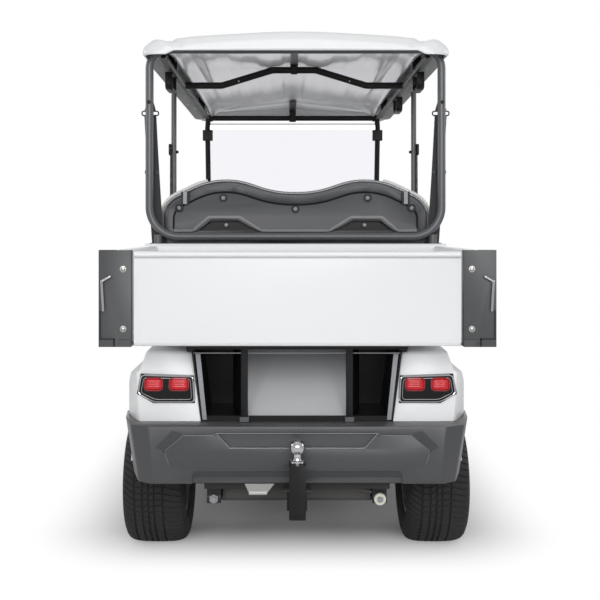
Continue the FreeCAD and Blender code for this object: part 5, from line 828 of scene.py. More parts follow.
# %% [markdown]
# Trim has to lie on curved skins. A ray sent at a solid finds the place where the skin is,
# so a rim or a bolt can be given by where it appears from outside, and it lands on the
# surface at that spot. A view is the place of its eye along Y and the way it looks.

# %% Finding a skin
FROM_BEHIND, FROM_FRONT = (-2.0, (0, 1, 0)), (2.4, (0, -1, 0))
FROM_SEATS, SHEET_LIFT = (0.30, (0, 1, 0)), 0.0010


def skin_finder(node):
    """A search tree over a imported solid."""
    mesh = nodes[node].data
    return BVHTree.FromPolygons([v.co for v in mesh.vertices],
                                [list(p.vertices) for p in mesh.polygons])


def on_skin(tree, starts, way, lift=0.0):
    """Where rays from each start along way meet the skin, lifted back by lift."""
    way = Vector(way)
    hits = [tree.ray_cast(Vector(start), way)[0] or Vector(start) for start in starts]
    return np.array([tuple(hit - way * lift) for hit in hits])


def at_depth(line, depth):
    """A line seen from behind, as (x, z), put at a place along the cart."""
    return np.insert(np.asarray(line, float), 1, depth, axis=1)


def landed(tree, line, view=FROM_BEHIND, lift=0.0):
    """A line as it is seen in a view, (x, z), laid on a skin."""
    return on_skin(tree, at_depth(line, view[0]), view[1], lift)


def skin_sheet(tree, corners, counts, view=FROM_BEHIND):
    """A sheet that follows a skin inside four corners (x, z), just clear of it.

    Its point at shares (s, t) is cast from a (1-s)(1-t) + b s(1-t) + c s t + d (1-s) t.
    """
    a, b, c, d = np.asarray(corners, float)
    s, t = np.meshgrid(*(np.linspace(0, 1, count) for count in counts), indexing="ij")
    s, t = s[..., None], t[..., None]
    places = a * (1 - s) * (1 - t) + b * s * (1 - t) + c * s * t + d * (1 - s) * t
    return landed(tree, places.reshape(-1, 2), view, SHEET_LIFT), grid_faces(*counts)


def filled_in(outline, most):
    """The same closed outline with points no further apart than most."""
    runs = []
    for a, b in zip(outline, np.roll(outline, -1, axis=0)):
        count = int(np.linalg.norm(b - a) / most) + 1
        runs.append(a + (b - a) * np.arange(count)[:, None] / count)
    return np.concatenate(runs)


def scaled(outline, *shares):
    """An outline drawn in or let out about its middle."""
    middle = outline.mean(axis=0)
    return middle + (outline - middle) * shares


print("skins can be found")

# %% [markdown]
# Each tail lamp is a dark housing with a chrome rim that narrows towards the corner of the
# body, and two ribbed lenses in it. A lens is a dome over a rounded oblong: rings that grow
# from its middle, lifted by the dome and by ribs both ways, as moulded optics have.

# %% Tail lamps
LAMP_CORNERS = [(0.3275, 0.568), (0.457, 0.568), (0.508, 0.595), (0.499, 0.653),
                (0.333, 0.648)]
LENSES = ((0.350, 0.406), (0.433, 0.486))
LENS_LOW, LENS_HIGH, LENS_DOME = 0.606, 0.641, 0.0055
RIB_HEIGHT, RIBS_ACROSS, RIBS_UP = 0.0005, 0.0055, 0.0070


def lens_part(tree, side, inner, outer):
    """A ribbed lens.

    Ring r (0 to 1) is an oblong (cos t, sin t) to the power 1/2 times half its size, and
    the height is a dome 1 - r^4 with waves across and upwards.
    """
    r = np.sin(np.linspace(0, np.pi / 2, 16))[:, None]
    a, b = circle(1, 64).T
    x = (inner + outer) / 2 + r * np.sign(a) * np.abs(a) ** 0.5 * (outer - inner) / 2
    z = (LENS_LOW + LENS_HIGH) / 2 + r * np.sign(b) * np.abs(b) ** 0.5 * (
        LENS_HIGH - LENS_LOW) / 2
    ribs = RIB_HEIGHT * (np.cos(x * 2 * np.pi / RIBS_ACROSS)
                         + np.cos(z * 2 * np.pi / RIBS_UP))
    lift = LENS_DOME * (1 - r ** 4) + ribs * (1 - r ** 8)
    points = landed(tree, np.stack([side * x, z], axis=-1).reshape(-1, 2))
    points[:, 1] -= lift.ravel()
    return points, grid_faces(*x.shape, wrap_columns=True)


housing = skin_finder("tail_lamps")
rims, lenses, rings = [], [], []
outline = filled_in(eased(LAMP_CORNERS, 0.012, 5, closed=True), 0.012)
for side in SIDES:
    inset = scaled(outline, 0.90, 0.80)
    for line, radius, steps in ((outline, 0.0030, 8), (inset, 0.0013, 6)):
        rims.append(rod(landed(housing, line * (side, 1)), radius, steps, closed=True))
    for inner, outer in LENSES:
        lenses.append(lens_part(housing, side, inner, outer))
        ring = scaled(eased(oblong(inner, outer, LENS_LOW, LENS_HIGH), 0.012, closed=True),
                      1.10, 1.13)
        rings.append(rod(landed(housing, ring * (side, 1)), 0.0022, 6, closed=True))
made("lamp_rims", rims, "bright_chrome")
made("ribbed_lenses", lenses, "red_lens", stands_for=["tail_lamp_lenses"],
     angle=60)
made("lens_rings", rings, "lens_seat")
print("two lamps with", len(lenses), "lenses")

# %% [markdown]
# Belt webbing is flat, stiff across and soft along, so it is modelled directly as a thin
# strip with thicker woven edges, carried down a path. Rings, plates and tongues are bent
# wire and stamped sheet.

# %% Seat belts
WEB_HALF, WEB_THICK = 0.0225, 0.0011
WEB_OUTLINE = np.array([(-1, -0.6), (-0.93, -1), (-0.8, -0.7), (0.8, -0.7), (0.93, -1),
                        (1, -0.6), (1, 0.6), (0.93, 1), (0.8, 0.7), (-0.8, 0.7),
                        (-0.93, 1), (-1, 0.6)]) * (WEB_HALF, WEB_THICK)
RING_Y, STRUT_X, STRUT_Y = AXLE + 0.1148, 0.5857, AXLE + 1.041
SEATS = (-0.30, -0.06, 0.06, 0.30)


def bowed(start, end, bow):
    """Points from start to end, bowed out in the middle by a sine."""
    t = np.linspace(0, 1, 24)[:, None]
    return np.array(start) + t * np.subtract(end, start) + np.sin(np.pi * t) * bow


webs = [swept(bowed((0.545, RING_Y + 0.002, 1.548), (0.516, RING_Y + 0.006, 1.058),
                    (0.002, 0.003, 0)), WEB_OUTLINE),
        swept(bowed((STRUT_X, STRUT_Y, 1.500), (STRUT_X, STRUT_Y, 0.760), (0.0015, 0, 0)),
              WEB_OUTLINE, (1, 0, 0))]
made("belt_webbing", both(webs), "webbing", stands_for=["seat_belts"], angle=50)

wire = at_depth(eased(oblong(0.514, 0.576, 1.546, 1.562), 0.0075, 6, closed=True), RING_Y)
anchor = plate([(0.523, 1.562), (0.567, 1.562), (0.553, 1.612), (0.537, 1.612)],
               RING_Y - 0.0022, RING_Y + 0.0012)
tongue = plate(eased(oblong(0.512, 0.566, 1.326, 1.342), 0.005, 5, closed=True),
               RING_Y + 0.0035, RING_Y + 0.0065)
made("belt_metal", both([rod(wire, 0.0026, closed=True), anchor, tongue]), "dark_plate",
     bevel=0.0006)

hoop_bolt = turned([(0.004, 0), (-0.003, 0.0075), (-0.009, 0.0070), (-0.0115, 0.0045),
                    (-0.012, 0)], (0.545, AXLE + 0.082, 1.592), "y", 6)
strut_bolt = turned([(0.0128, 0.0), (-0.004, 0.0095), (-0.012, 0.0085), (-0.022, 0.0060),
                     (-0.023, 0)], (0.571, STRUT_Y, 1.486), "x", 8)
cover = plate(eased(oblong(AXLE + 1.013, AXLE + 1.069, 1.470, 1.524), 0.017, closed=True),
              0.5838, 0.5932, "x")
reel = block((0.484, AXLE + 0.1124, 1.004), (0.548, AXLE + 0.144, 1.068))
buckles, buttons = [], []
for x0 in SEATS:
    for y0, low, high in ((-0.839, 0.842, 0.900), (0.009, 0.660, 0.790)):
        buckles.append(block((x0 - 0.015, y0 - 0.007, low), (x0 + 0.015, y0 + 0.007, high)))
        buttons.append(block((x0 - 0.009, y0 - 0.0065, high - 0.001),
                             (x0 + 0.009, y0 + 0.0065, high + 0.003)))
made("belt_fittings", both([cover, reel, hoop_bolt, strut_bolt]) + buckles, "black_steel",
     bevel=0.003)
made("buckle_buttons", buttons, "lens_seat", bevel=0.001)
print("webbing", 2 * WEB_HALF, "m wide on", len(webs) * 2, "belts")

# %% [markdown]
# The bag well behind the tailgate is closed by a glossy panel that bows outwards. Its top
# leans back and lies in the shade of the box, and its foot mirrors the white floor. Both are
# painted into its colour: the pale base colour is a painted reflection of the floor, and it is
# graded darker upwards as painted shade, for the long soft gradient.

# %% Bag well panel and trims
# Towards the top the panel's colour is mixed into this dark grey: painted shade.
PAINTED_SHADE_COLOUR = (0.16, 0.165, 0.175, 1)
tree = FINISHES["painted_reflection_panel"].node_tree
base = tree.nodes["Principled BSDF"].inputs["Base Color"]
height = add(tree, "SeparateXYZ", {0: own_place(tree)}).outputs["Z"]
rise = add(tree, "MapRange", {"Value": height, "From Min": 0.53, "From Max": 0.73},
           interpolation_type="SMOOTHSTEP").outputs["Result"]
tree.links.new(mixed(tree, rise, base.links[0].from_socket, PAINTED_SHADE_COLOUR), base)

PANEL_TOP, PANEL_LEAN, PANEL_BOW, PANEL_TURN = AXLE - 0.215, 0.172, 0.006, 0.012
PANEL_HALF, PANEL_FLARE, PANEL_FOOT, PANEL_HEIGHT = 0.172, 0.014, 0.504, 0.220

u, v = np.linspace(-1, 1, 61), np.linspace(0, 1, 41)[:, None]
panel_y = (PANEL_TOP - PANEL_LEAN * (1 - v) ** 1.6 - PANEL_BOW * (1 - u ** 2)
           + PANEL_TURN * np.abs(u) ** 16)
panel = made("bag_panel", [grid_part(u * (PANEL_HALF + PANEL_FLARE * v), panel_y,
                                     PANEL_FOOT + v * PANEL_HEIGHT)],
             "painted_reflection_panel", angle=60, wall=(0.004, 0))
trims = [plate([(0.2870, 0.512), (0.3010, 0.512), (0.3240, 0.722), (0.3080, 0.722)],
               AXLE - 0.4015, AXLE - 0.3955),
         plate(oblong(-0.33, 0.33, 0.7235, 0.7268), AXLE - 0.402, AXLE - 0.396)]
made("well_trims", both(trims), "grey_clip", bevel=0.0012)
made("post_caps", both([block((0.152, AXLE - 0.420, 0.5085), (0.182, AXLE - 0.3985, 0.524))]),
     "grey_tube", bevel=0.002)
print("bag panel:", len(panel.data.polygons), "faces")

# %% [markdown]
# Bright small things draw the eye: the bolts of the end plates and the box, and the seat
# shell's screws and clips.

# %% Small bright parts
SCREWS = ((-0.441, 1.200), (-0.274, 1.238), (0.0, 1.196), (0.274, 1.238), (0.441, 1.200))
plate_bolts = [(side * 0.5215, AXLE - 0.5835, z) for side in SIDES for z in (1.001, 0.822)]
box_bolts = [repeated(dome_bolt(0.0050, "x", side),
                      [(side * 0.5485, AXLE - along, 0.800) for along in (0.52, 0.30, 0.06)])
             for side in SIDES]
made("box_bolts", [repeated(dome_bolt(0.0068, "y", -1), plate_bolts)] + box_bolts, "zinc")

shell = skin_finder("rear_seat_shell")
screw_places = landed(shell, SCREWS)
CUP = [(0.0005, 0.0165), (-0.0034, 0.0158), (-0.0034, 0.0110), (-0.0010, 0.0090)]
SCREW = [(0.001, 0.0092), (-0.0020, 0.0082), (-0.0050, 0.0034), (-0.006, 0)]
ARCH_BOLT = [(0, 0.010), (-0.004, 0.009), (-0.008, 0.006), (-0.009, 0)]
made("shell_cups", [repeated(turned(CUP, axis="y", steps=16), screw_places)],
     "well_plastic")
made("shell_screws", [repeated(turned(SCREW, axis="y", steps=10), screw_places),
                      repeated(turned(ARCH_BOLT, axis="y", steps=6),
                               [(side * 0.262, -0.9405, 1.135) for side in SIDES])],
     "grey_clip")
made("clip_straps", both([block((0.4095, -0.9575, 1.214), (0.4245, -0.9510, 1.262))]),
     "grey_clip", bevel=0.001)
made("clip_frames", both([block((x0, -0.9590, 1.214), (x0 + 0.006, -0.9510, 1.262))
                          for x0 in (0.4025, 0.4255)]),
     "dark_plate", bevel=0.001)
print(len(SCREWS), "screws and 2 clips on the seatback")

# %% [markdown]
# The seatback's shell is trimmed by a rolled bead that follows its waved top edge. The path
# is the shell's own outline: straight runs between corners, each turned in an arc. Drawn in
# by a margin, the same outline gives the dark seam and the ridge, and drawn out a little it
# gives the edge of the upholstery.

# %% Seatback
def rounded(corners, radii, steps=16):
    """A path through corners, each turned in an arc of its own radius.

    The arc's centre lies radius / cos(turn / 2) from the corner along the bisector.
    """
    corners = np.asarray(corners, float)
    ways = unit(np.diff(corners, axis=0))
    runs = [corners[:1]]
    for corner, before, after, radius in zip(corners[1:-1], ways[:-1], ways[1:], radii):
        half = math.acos(min(1.0, float(before @ after))) / 2
        inwards, along = unit(np.array([after - before, after + before]))
        turn = np.linspace(-half, half, steps)[:, None]
        centre = corner + inwards * radius / math.cos(half)
        runs.append(centre - inwards * radius * np.cos(turn) + along * radius * np.sin(turn))
    return np.concatenate(runs + [corners[-1:]])


def shell_inset(margin, low):
    """The shell's outline drawn in by a margin, down to a level."""
    half = [(0.508 - margin, low), (0.508 - margin, 1.222 - 0.63 * margin),
            (0.330 - 0.22 * margin, 1.306 - margin), (0.215 + 0.16 * margin, 1.306 - margin),
            (0.075 + 0.16 * margin, 1.259 - margin)]
    arcs = [0.100 - margin, 0.290 - margin, 0.290 - margin, 0.400 + margin]
    return rounded(half + [(-x0, z0) for x0, z0 in half[::-1]], arcs + arcs[::-1])


bead_line = shell_inset(0, 1.100) * (0.992, 1) - (0, 0.0035)
welt = shell_inset(-0.004, 1.10)
welts = [welt[(side * welt[:, 0] > 0.33) & (welt[:, 1] > 1.12)] for side in SIDES]
# The bead and the ridge take a grey lighter than the shell: partly painted highlight.
for name, lines, depth, radius, steps, look, slot in (
        ("seatback_bead", [bead_line], -0.9430, 0.0055, 10, "bead_with_painted_highlight", "charcoal_plastic"),
        ("seatback_seam", [shell_inset(0.046, 1.122)], -0.9402, 0.0036, 8, "well_plastic",
         "charcoal_plastic"),
        ("seatback_ridge", [shell_inset(0.019, 1.200)], -0.9402, 0.0020, 8, "bead_with_painted_highlight",
         "charcoal_plastic"),
        ("seatback_welts", welts, -0.9230, 0.0085, 12, "seat_vinyl", "seat_vinyl")):
    made(name, [rod(at_depth(line, depth), radius, steps) for line in lines], look)

STRIP = oblong(-0.0045, 0.0045, -0.0014, 0.0014)
ARCH = [(0.127, 1.1145), (0.210, 1.1655), (0.328, 1.1655), (0.388, 1.1145)]
ARCH_INSIDE = [(0.148, 1.114), (0.366, 1.114), (0.318, 1.157), (0.222, 1.157)]
arch_lines = [rounded(ARCH, [0.02, 0.02], 6), [(0.0, 1.1145), (0.06, 1.1145), (0.127, 1.1145)],
              [(0.388, 1.1145), (0.42, 1.1145), (0.458, 1.1145)]]
# The arch frames take the same lighter grey: partly painted highlight.
made("arch_frames", both([swept(at_depth(line, -0.9532), STRIP) for line in arch_lines]),
     "bead_with_painted_highlight", angle=0)
made("arch_recesses", both([skin_sheet(shell, ARCH_INSIDE, (40, 12))]), "well_plastic",
     angle=0, wall=(0.0008, 0))
print("the bead has", len(bead_line), "places along it")

# %% [markdown]
# The bumper's recessed band has a proud lip above and below, which shows as a pair of light
# lines, partly as painted highlight in the lips' lighter grey, and thin dark sheets of painted
# shade lie on its shaded recesses. A grey strip under the tailgate's lip is a painted shadow
# line. The end plates close down to the box floor, with a stiffening fold at the outer corner
# whose lines are thin dark strips of painted shade, and clips hold the windshield to its
# struts.

# %% Lips, folds and clips
BAND_END, LIP_DEPTH = (0.250, 0.4885), AXLE - 0.4893
FACE = [BAND_END, (0.262, 0.4815), (0.353, 0.4815), (0.412, 0.4330), (0.398, 0.3925)]
# Corners of dark sheets that are painted shade, where the bumper's recesses fall into shadow.
PAINTED_SHADE_QUADS = ([(0.356, 0.487), (0.412, 0.431), (0.440, 0.444), (0.387, 0.496)],
          [(0.0, 0.350), (0.325, 0.350), (0.318, 0.369), (0.0, 0.369)])
band = rounded([(-0.250, 0.4885), (-0.209, 0.4430), (0.209, 0.4430), BAND_END],
               [0.004, 0.004], 4)
top = [(-0.250, 0.4885), (-0.10, 0.4885), (0.10, 0.4885), BAND_END]
face = at_depth(rounded(FACE, [0.006, 0.010, 0.010], 4), AXLE - 0.4885)
lips = [rod(at_depth(band, LIP_DEPTH), 0.0020), rod(at_depth(top, LIP_DEPTH), 0.0018)]
# The lips take the lighter bead grey: partly painted highlight.
made("bumper_lips", lips + both([rod(face, 0.0014)]), "bead_with_painted_highlight")
bumper = skin_finder("rear_bumper")
# Thin dark sheets of painted shade on the bumper's recesses.
made("bumper_painted_shades", both([skin_sheet(bumper, quad, (24, 8)) for quad in PAINTED_SHADE_QUADS]),
     "shell_plastic", angle=0, wall=(0.0008, 0))

made("tailgate_lip", [rod([(-0.488, AXLE - 0.5810, 1.0455), (0.488, AXLE - 0.5810, 1.0455)],
                          0.0075, 16, (0, 0, 1))], "white_metal", "tailgate")
PLATE_REAR, SEAL_Y, CLAMP_Y = AXLE - 0.583, AXLE + 2.0835, AXLE + 2.092
# A grey strip just under the tailgate's lip is a painted shadow line.
made("tailgate_painted_shadow_line", [block((-0.489, AXLE - 0.5812, 1.0335), (0.489, AXLE - 0.5798, 1.0362))],
     "grey_clip", "tailgate", angle=0)
made("windshield_seal", [block((-0.486, SEAL_Y - 0.004, 1.7330),
                               (0.486, SEAL_Y + 0.004, 1.7395))],
     "grey_tube", bevel=0.001)
made("plate_fills", both([block((0.4985, PLATE_REAR, 0.768),
                                (0.5345, PLATE_REAR + 0.003, 0.791))]),
     "plate_coat", angle=0)
# Thin dark strips at each end plate's outer corner are painted shade for the lines of its fold.
made("plate_fold_painted_shade", both([plate(oblong(*sizes), PLATE_REAR - 0.0022, PLATE_REAR) for sizes in
                          ((0.546, 0.592, 0.7905, 0.7935), (0.546, 0.551, 0.7685, 0.7935),
                           (0.5885, 0.5915, 0.7935, 0.8780))]),
     "dark_plate", angle=0)
clamps = [block((0.472, CLAMP_Y - 0.018, 1.640), (0.530, CLAMP_Y + 0.016, 1.702)),
          block((0.468, CLAMP_Y + 0.050, 1.150), (0.528, CLAMP_Y + 0.086, 1.200)),
          block((0.470, CLAMP_Y - 0.040, 1.752), (0.5055, CLAMP_Y - 0.004, 1.788))]
made("windshield_clamps", both(clamps), "black_steel", bevel=0.003)
print("lips, folds and", 2 * len(clamps), "clamps in place")

# %% [markdown]
# The tow ball stands on a washer over the shelf, with a nut below. Under the tail there are
# a bright folded bracket, a plate between the springs, brake cables and the pale bushing
# in the right spring's eye.

# %% Hitch and tail hardware
BALL, BALL_RADIUS, BALL_HEIGHT = (0, AXLE - 0.548, 0), 0.0238, 0.460
TAIL_FACE = AXLE - 0.430
EYE_PLACE = np.array([0.268, AXLE - 0.3688, 0.251])
ball = [(BALL_HEIGHT + BALL_RADIUS * np.cos(a), BALL_RADIUS * np.sin(a))
        for a in np.linspace(0.06, np.pi, 24)[:-4]]
ball = [(0.4838, 0.0), (0.4836, 0.006)] + ball + [
    (0.4345, 0.0125), (0.4260, 0.0125), (0.4215, 0.0150), (0.4200, 0.0220), (0.4130, 0.0220),
    (0.4122, 0.0205), (0.4122, 0.0085), (0.4035, 0.0085)]
nut = [(0.4038, 0.0165), (0.3990, 0.0170), (0.3980, 0.0150), (0.3840, 0.0150),
       (0.3838, 0.0090), (0.3745, 0.0090), (0.3740, 0.0)]
made("tow_ball", [turned(ball, BALL, "z", 40), turned(nut, BALL, "z", 6)], "bright_chrome",
     stands_for=["hitch_ball"], angle=30)
bracket = plate([(-0.166, 0.318), (-0.070, 0.318), (-0.094, 0.288), (-0.152, 0.288)],
                TAIL_FACE - 0.0035, TAIL_FACE)
lip = block((-0.152, TAIL_FACE - 0.014, 0.285), (-0.094, TAIL_FACE, 0.290))
made("tail_bracket", [bracket, lip], "zinc", bevel=0.001)

irons = [block((-half, AXLE + low, foot), (half, AXLE + high, head))
         for half, low, high, foot, head in (
             (0.045, -0.460, -0.380, 0.2998, 0.3035), (0.242, -0.312, -0.308, 0.232, 0.2995),
             (0.262, -0.312, -0.280, 0.2965, 0.2998), (0.242, -0.318, -0.308, 0.230, 0.2335))]
ARM = np.array([(0.072, -0.352, 0.300), (0.110, -0.352, 0.296), (0.244, -0.352, 0.268)])
CABLE = np.array([(0.12, -0.30, 0.31), (0.16, -0.16, 0.275), (0.300, -0.06, 0.262),
                  (0.438, -0.03, 0.246)])
irons.append(rod(eased(ARM + (0, AXLE, 0), 0.02), 0.0055, 10, (0, 0, 1)))
irons += [rod(eased(CABLE * (side, 1, 1) + (0, AXLE, 0), 0.06), 0.0055, 8, (0, 0, 1))
          for side in SIDES]
made("tail_irons", irons, "axle_iron", bevel=0.0008)
made("spring_bushing", [turned([(0.001, 0.0195), (-0.006, 0.0195), (-0.0085, 0.0175),
                                (-0.0085, 0.0110), (-0.0050, 0.0095), (-0.0050, 0.0)],
                               EYE_PLACE, "y", 32)], "cream_rubber")
made("eye_bolts", [turned([(-0.003, 0.0088), (-0.0110, 0.0088), (-0.0125, 0.0070),
                           (-0.0125, 0)], EYE_PLACE, "y", 6),
                   turned([(0.001, 0.0150), (-0.004, 0.0150), (-0.004, 0.0088),
                           (-0.0110, 0.0088), (-0.0110, 0)], EYE_PLACE * (-1, 1, 1), "y", 6)],
     "grey_clip")
print("hitch and tail hardware done")

# %% [markdown]
# The nose isn't in the photograph, so its trim is plain and takes the tail's style: dark
# lamp housings with a bright rim and two round lamps each, a louvred intake between them,
# and dark shut lines where the bonnet meets the nose.

# %% Nose
HEAD_CORNERS = [(0.244, 0.545), (0.468, 0.560), (0.473, 0.615), (0.244, 0.607)]
LAMP_ACROSS, LAMP_HEIGHT, LAMP_RADIUS = (0.300, 0.402), 0.584, 0.0225
BOOT = np.array([(2.108, 0.782), (2.132, 0.876), (2.180, 0.892), (2.292, 0.888),
                 (2.318, 0.852), (2.215, 0.768)])
cowl, lamps = skin_finder("front_cowl"), skin_finder("headlamps")
outline = filled_in(eased(HEAD_CORNERS, 0.010, 5, closed=True), 0.012)
radii = np.sin(np.linspace(0.02, np.pi / 2, 9))[:, None, None] * LAMP_RADIUS
bulge = (0.004 * (1 - (radii / LAMP_RADIUS) ** 2) + 0 * circle(1, 32)[:, :1]).ravel() + 0.0006
rims, domes = [], []
for side in SIDES:
    rims.append(rod(landed(lamps, outline * (side, 1), FROM_FRONT), 0.0026, closed=True))
    for across in LAMP_ACROSS:
        middle = (across, LAMP_HEIGHT)
        ring = (middle + circle(0.0235, 32)) * (side, 1)
        rims.append(rod(landed(lamps, ring, FROM_FRONT), 0.0022, closed=True))
        disc = (middle + radii * circle(1, 32)) * (side, 1)
        dome = landed(lamps, disc.reshape(-1, 2), FROM_FRONT)
        dome[:, 1] += bulge
        domes.append((dome, grid_faces(*disc.shape[:2], wrap_columns=True)))
made("headlamp_rims", rims, "bright_chrome")
made("headlamp_lenses", domes, "headlamp_glass", angle=60)


def level_line(half, height, count):
    """Points from side to side at one height, as (x, z)."""
    return np.stack([np.linspace(-half, half, count), np.full(count, height)], axis=1)


SLAT = [(-0.0032, -0.0020), (0.0032, -0.0020), (0.0022, 0.0030), (-0.0022, 0.0030)]
STRIPE = [(-0.016, -0.002), (0.016, -0.002), (0.016, 0.003), (0.012, 0.006),
          (-0.012, 0.006), (-0.016, 0.003)]
slats = [swept(landed(cowl, level_line(0.205, height, 40), FROM_FRONT), SLAT)
         for height in np.linspace(0.548, 0.604, 5)]
made("nose_louvres", slats, "dark_plate", angle=0)
lower = landed(cowl, level_line(0.535, 0.655, 80), FROM_FRONT, 0.0002)
above = np.insert(level_line(0.42, 1.6, 60), 1, AXLE + 2.300, axis=1)
upper = on_skin(cowl, above, (0, 0, -1), 0.0002)
made("nose_shut_lines", [rod(lower, 0.0012, 6), rod(upper, 0.0012, 6, (0, 0, 1))],
     "dark_plate", angle=0)
stripe = landed(skin_finder("front_bumper"), level_line(0.440, 0.395, 60), FROM_FRONT,
                -0.0045)
made("front_bumper_strip", [swept(stripe, STRIPE)], "dark_plate",
     bevel=0.001)
made("pillar_boots", both([plate(BOOT + (AXLE, 0), 0.474, 0.5595, "x")]), "charcoal_plastic",
     bevel=0.009, segments=3)
print("nose:", len(rims), "rims and", len(slats), "louvres")

# %% [markdown]
# The cabin is small work. Two fields of ribs make the mat, and each pedal has a rubber with
# bars across it.

# %% Floor and pedals
RIB = [(-0.0045, 0.0), (0.0045, 0.0), (0.0030, 0.0018), (-0.0030, 0.0018)]
MAT_HEIGHT, PEDALS, BANDS = 0.3452, (-0.200, -0.320), ((0.690, 1.065), (1.590, 1.965))
mat = [swept([(across, AXLE + low, MAT_HEIGHT), (across, AXLE + high, MAT_HEIGHT)], RIB,
             (0, 0, 1)) for across in np.linspace(-0.50, 0.50, 41) for low, high in BANDS]
made("mat_ribs", mat, "mat_rib", angle=0)
rear = corners(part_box("pedals"))[0][1]
rubbers = []
for across in PEDALS:
    rubbers.append(block((across - 0.031, rear - 0.0035, 0.412),
                         (across + 0.031, rear + 0.0010, 0.488)))
    rubbers += [block((across - 0.027, rear - 0.0060, height - 0.0022),
                      (across + 0.027, rear - 0.0030, height + 0.0022))
                for height in np.linspace(0.420, 0.480, 6)]
made("pedal_rubbers", rubbers, "dark_plate", bevel=0.0008)
print(len(mat), "ribs on the mat")

# %% [markdown]
# The dash has three open trays. A lip runs round each, and a dark sheet lies in it. The key,
# the lever with its grip and a knob sit on bright collars.

# %% Dash
TRAYS = [oblong(*sides, 0.760, 0.830)
         for sides in ((0.06, 0.26), (0.30, 0.50), (-0.50, -0.38))]
KNOBS = ((-0.080, 0.800), (-0.035, 0.800), (0.010, 0.800))
dash = skin_finder("dashboard")
lips = [rod(landed(dash, filled_in(eased(tray, 0.012, 5, closed=True), 0.02), FROM_SEATS),
            0.0035, closed=True) for tray in TRAYS]
made("tray_lips", lips, "charcoal_plastic")
made("tray_recesses", [skin_sheet(dash, tray, (24, 10), FROM_SEATS) for tray in TRAYS],
     "well_plastic", wall=(0.0008, 0))

knobs = landed(dash, KNOBS, FROM_SEATS)
collar = turned([(0.001, 0.0150), (-0.0030, 0.0145), (-0.0040, 0.0120), (-0.0030, 0.0100)],
                axis="y")
cap = turned([(0.001, 0.0100), (-0.0050, 0.0095), (-0.0060, 0.0080), (-0.0060, 0)], axis="y")
key = block(knobs[0] + [-0.0018, -0.026, -0.009], knobs[0] + [0.0018, -0.005, 0.009])
lever = rod(knobs[1] + [(0, -0.004, 0), (0, -0.020, 0.002), (0, -0.036, 0.006)], 0.0035, 10,
            (1, 0, 0))
grip = turned([(-0.048, 0), (-0.046, 0.0070), (-0.038, 0.0090), (-0.030, 0.0070),
               (-0.028, 0.0035)], knobs[1] + [0, 0, 0.006], "y", 20)
made("dash_collars", [repeated(collar, knobs)], "zinc")
made("dash_switches", [repeated(cap, knobs), key, lever, grip], "dark_plate")
print("dash:", len(TRAYS), "trays and", len(KNOBS), "switches")

# %% [markdown]
# The studio is white all round, yet the cart stands in its own soft shadow. The floor is
# plain diffuse grey under the cart. Further out it turns, for the camera, glass and in part
# for mirrors, into an even white, and the world does the same, so the horizon vanishes
# without adding light to the object. The lamps are broad: one overhead, one behind the
# camera, one from each side and one on the nose.

# %% Studio
FLOOR_REACH, FLOOR_GREY = 30.0, (0.72, 0.72, 0.72)
SHADOW_HALF, FADE = (0.50, 0.95), 0.5
MIRROR_SHARE, AMBIENT = 0.35, 0.37


def seen_directly(tree):
    """1 for rays of the camera and of glass, less for mirrors, 0 for what lights objects."""
    path = add(tree, "LightPath").outputs
    mirror = math_node(tree, "MULTIPLY", path["Is Glossy Ray"], MIRROR_SHARE)
    seen = math_node(tree, "MAXIMUM", mirror, path["Is Transmission Ray"])
    return math_node(tree, "MAXIMUM", path["Is Camera Ray"], seen)


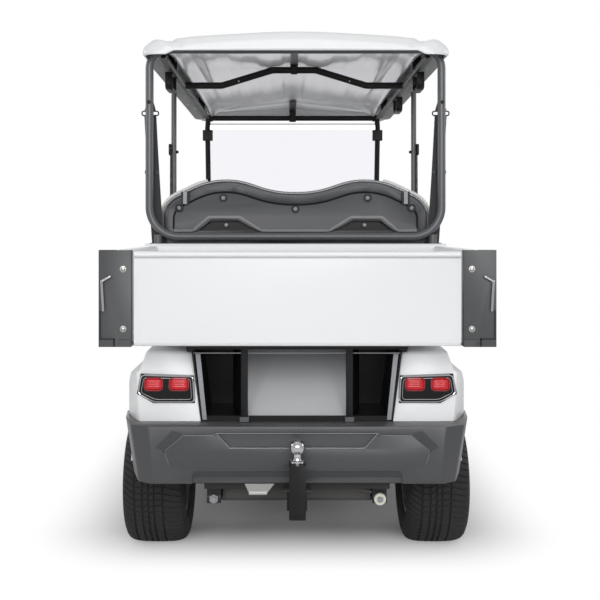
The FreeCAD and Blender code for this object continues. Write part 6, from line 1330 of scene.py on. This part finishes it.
def add_white_distance(material):
    """Mix even white into the floor: more with the distance from the cart's footprint.

    The distance is sqrt(dx^2 + dy^2), where dx = max(|x| - half width, 0) and dy likewise.
    """
    tree = material.node_tree
    place = add(tree, "SeparateXYZ", {0: own_place(tree)})
    squares = []
    for axis, half in zip("XY", SHADOW_HALF):
        off = math_node(tree, "ABSOLUTE", place.outputs[axis])
        off = math_node(tree, "MAXIMUM", math_node(tree, "SUBTRACT", off, half))
        squares.append(math_node(tree, "MULTIPLY", off, off))
    away = math_node(tree, "SQRT", math_node(tree, "ADD", *squares))
    fade = add(tree, "MapRange", {"Value": away, "From Min": 0.0, "From Max": FADE},
               interpolation_type="SMOOTHSTEP").outputs["Result"]
    surface = tree.nodes["Principled BSDF"].outputs[0]
    mix = add(tree, "MixShader", {0: math_node(tree, "MULTIPLY", fade, seen_directly(tree)),
                                  1: surface, 2: add(tree, "Emission").outputs[0]})
    tree.links.new(mix.outputs[0], tree.nodes["Material Output"].inputs["Surface"])


floor = link_mesh("floor", [(x * FLOOR_REACH, y * FLOOR_REACH, 0) for x, y in
                            oblong(-1, 1, -1, 1)], [(0, 1, 2, 3)])
floor_material = new_finish("studio_floor", FLOOR_GREY, 0.005, (0.8, 0.9),
                            sockets={"Specular IOR Level": 0.2})
add_white_distance(floor_material)
floor.data.materials.append(floor_material)

world = bpy.data.worlds.new("studio")
world.use_nodes = True
bpy.context.scene.world = world
sky = world.node_tree.nodes["Background"]
sky.inputs["Color"].default_value = (1, 1, 1, 1)
level = math_node(world.node_tree, "MULTIPLY", seen_directly(world.node_tree), 1 - AMBIENT)
level = math_node(world.node_tree, "ADD", level, AMBIENT)
world.node_tree.links.new(level, sky.inputs["Strength"])

LAMPS = {"top_lamp": ((0, -0.6, 4.6), (0, -0.6, 0), 3.4, 4.6, 22),
         "rear_lamp": ((0, -6.4, 2.3), (0, -1.2, 0.6), 4.5, 2.0, 160),
         "left_lamp": ((-5.0, 0.5, 2.6), (0, 0, 0.8), 3.5, 2.2, 50),
         "right_lamp": ((5.0, 0.5, 2.6), (0, 0, 0.8), 3.5, 2.2, 50),
         "nose_lamp": ((0, 6.2, 3.2), (0, 1.2, 0.5), 4.5, 2.0, 70)}
for name, (place, target, width, height, power) in LAMPS.items():
    data = bpy.data.lights.new(name, "AREA")
    data.shape, data.size, data.size_y, data.energy = "RECTANGLE", width, height, power
    lamp = bpy.data.objects.new(name, data)
    lamp.location = place
    lamp.rotation_euler = (Vector(target) - Vector(place)).to_track_quat("-Z", "Y").to_euler()
    bpy.context.scene.collection.objects.link(lamp)
print("studio: ambient", AMBIENT, "and", len(LAMPS), "soft lamps")
